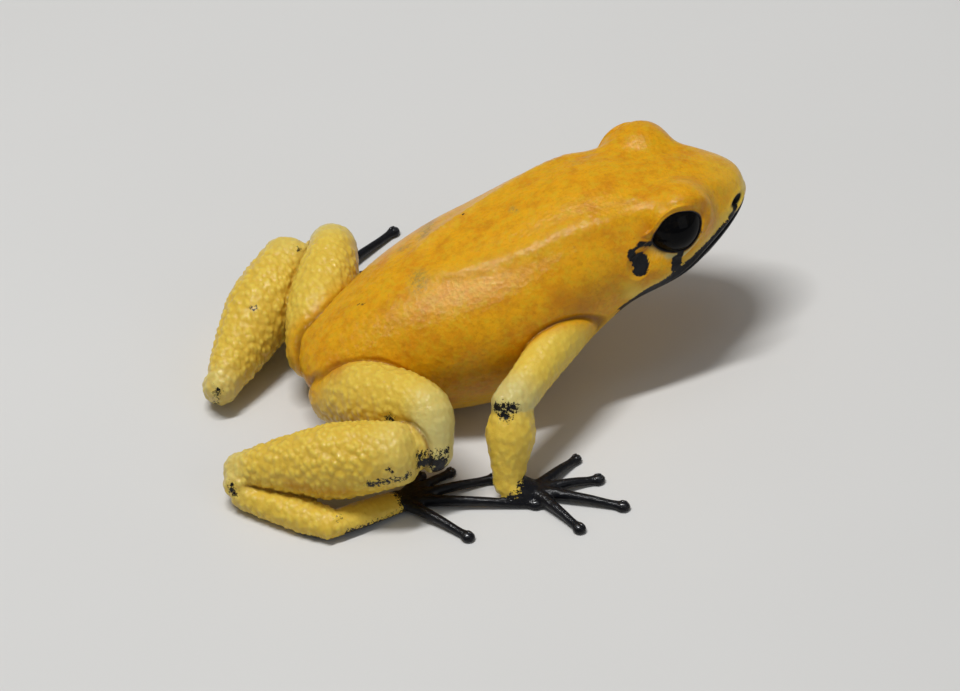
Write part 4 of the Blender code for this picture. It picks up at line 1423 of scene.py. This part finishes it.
# %% The pad tree
pad_finish = bpy.data.materials.new("black_pad_finish")
PADS = {"Pad length": 0.36, "Pad width": 0.22, "Pad height": 0.09}
tree, given, output = geometry_tree("fingertip_pads", PADS)
sizes = {axis: given.outputs["Pad " + way] for axis, way in zip("XYZ", ("length", "width", "height"))}
size = add_node(tree, "ShaderNodeCombineXYZ", sizes)
bead = add_node(tree, "GeometryNodeMeshUVSphere", {"Segments": 16, "Rings": 10, "Radius": 1.0})
inputs = {"Geometry": bead.outputs[0], "Scale": size.outputs[0]}
flat = add_node(tree, "GeometryNodeTransform", inputs)
dots = add_node(tree, "GeometryNodeMeshToPoints", {"Mesh": given.outputs["Geometry"]})
inputs = {
    "Points": dots.outputs[0],
    "Instance": flat.outputs[0],
    "Rotation": named(tree, "turn", "FLOAT_VECTOR"),
    "Scale": named(tree, "scale"),
}
copies = add_node(tree, "GeometryNodeInstanceOnPoints", inputs)
finish_tree(tree, copies.outputs[0], pad_finish, output)
run_tree(pads, tree, PADS)
print("pads:", len(pads.data.polygons), "faces")

# %% Finish of the pads
paint, shader, at, in_mm = open_finish(pad_finish)
PAD_BLACKS = (0.006, 0.006, 0.008), (0.016, 0.017, 0.021)
colour = mix(noise(4.0), rgba(PAD_BLACKS[0]), rgba(PAD_BLACKS[1]))
paint.links.new(colour, shader.inputs["Base Color"])
bump = add_node(paint, "ShaderNodeBump", {"Height": noise(7.0), "Strength": 0.4, "Distance": 0.00006})
paint.links.new(bump.outputs[0], shader.inputs["Normal"])
shader.inputs["Roughness"].default_value = 0.26
shader.inputs["Coat Weight"].default_value = 0.4

# %% [markdown]
# ## From millimetres to metres
# Every finished piece must stand at the origin, unturned and unscaled, with its place in its mesh.
# So the meshes themselves are moved to the frame's origin and shrunk to metres. Then each piece is
# tied to the part's one body, and the CAD nodes it covers are hidden.

# %% Settle the pieces in the frame
to_frame = Matrix.Scale(MM, 4) @ Matrix.Translation(-middle)
for piece in [skin, pads] + eyeballs:
    piece.data.transform(to_frame)
    piece.data.shade_smooth()
    piece.data.update()
    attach(piece, "root")

FLESH = ["head", "lower_jaw", "torso", "tympanum_right", "tympanum_left"]
for name in SIDES:
    for form in ("upper_arm", "forearm", "hand", "thigh", "shank", "tarsus", "foot"):
        FLESH.append(form + "_" + name)
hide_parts(*FLESH)
for name, ball in zip(SIDES, eyeballs):
    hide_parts("eye_" + name)
print("skin stands for", len(FLESH), "nodes")

# %% [markdown]
# ## Floor and light
# The model stands on a plain pale floor under soft studio light. A long narrow light overhead draws
# the line of small glints along the frog's back, a broad one above it softens the shadow, a weaker
# one fills the near side, and pale surroundings lift what is still dark.

# %% Floor
floor_finish = bpy.data.materials.new("pale_floor")
paint, shader, at, in_mm = open_finish(floor_finish)
FLOOR_GREYS = (0.66, 0.65, 0.63), (0.70, 0.69, 0.67)
colour = mix(noise(0.02, 2.0), rgba(FLOOR_GREYS[0]), rgba(FLOOR_GREYS[1]))
paint.links.new(colour, shader.inputs["Base Color"])
shader.inputs["Roughness"].default_value = 0.75
bm = bmesh.new()
bmesh.ops.create_grid(bm, x_segments=4, y_segments=4, size=3.0)
floor = new_object("floor", bm)
floor.data.materials.append(floor_finish)

# %% Lights
LIGHTS = {
    # name: place, length and width, watts
    "overhead_soft": ((-0.05, 0.10, 0.90), (0.70, 0.70), 0.8),
    "overhead_strip": ((-0.08, 0.03, 0.50), (0.24, 0.035), 1.85),
    "near_fill": ((0.35, -0.60, 0.35), (0.50, 0.50), 0.45),
}
AIM = Vector((0.0, 0.0, 0.01))
SURROUNDINGS, SURROUNDINGS_STRENGTH = (0.9, 0.95, 1.0), 0.17
for name, (place_of_light, (length, width), watts) in LIGHTS.items():
    lamp = bpy.data.objects.new(name, bpy.data.lights.new(name, "AREA"))
    lamp.data.shape = "RECTANGLE"
    lamp.data.size, lamp.data.size_y = length, width
    lamp.data.energy = watts
    away = (Vector(place_of_light) - AIM).normalized()
    along = (Vector((1, 0, 0)) - away * away.x).normalized()
    turn = Matrix((along, away.cross(along), away)).transposed().to_4x4()
    lamp.matrix_world = Matrix.Translation(place_of_light) @ turn
    bpy.context.scene.collection.objects.link(lamp)
world = bpy.data.worlds.new("studio")
world.use_nodes = True
backdrop = world.node_tree.nodes["Background"]
backdrop.inputs["Color"].default_value = rgba(SURROUNDINGS)
backdrop.inputs["Strength"].default_value = SURROUNDINGS_STRENGTH
bpy.context.scene.world = world
bpy.context.scene.view_settings.view_transform = "Standard"
print(len(LIGHTS), "lights")
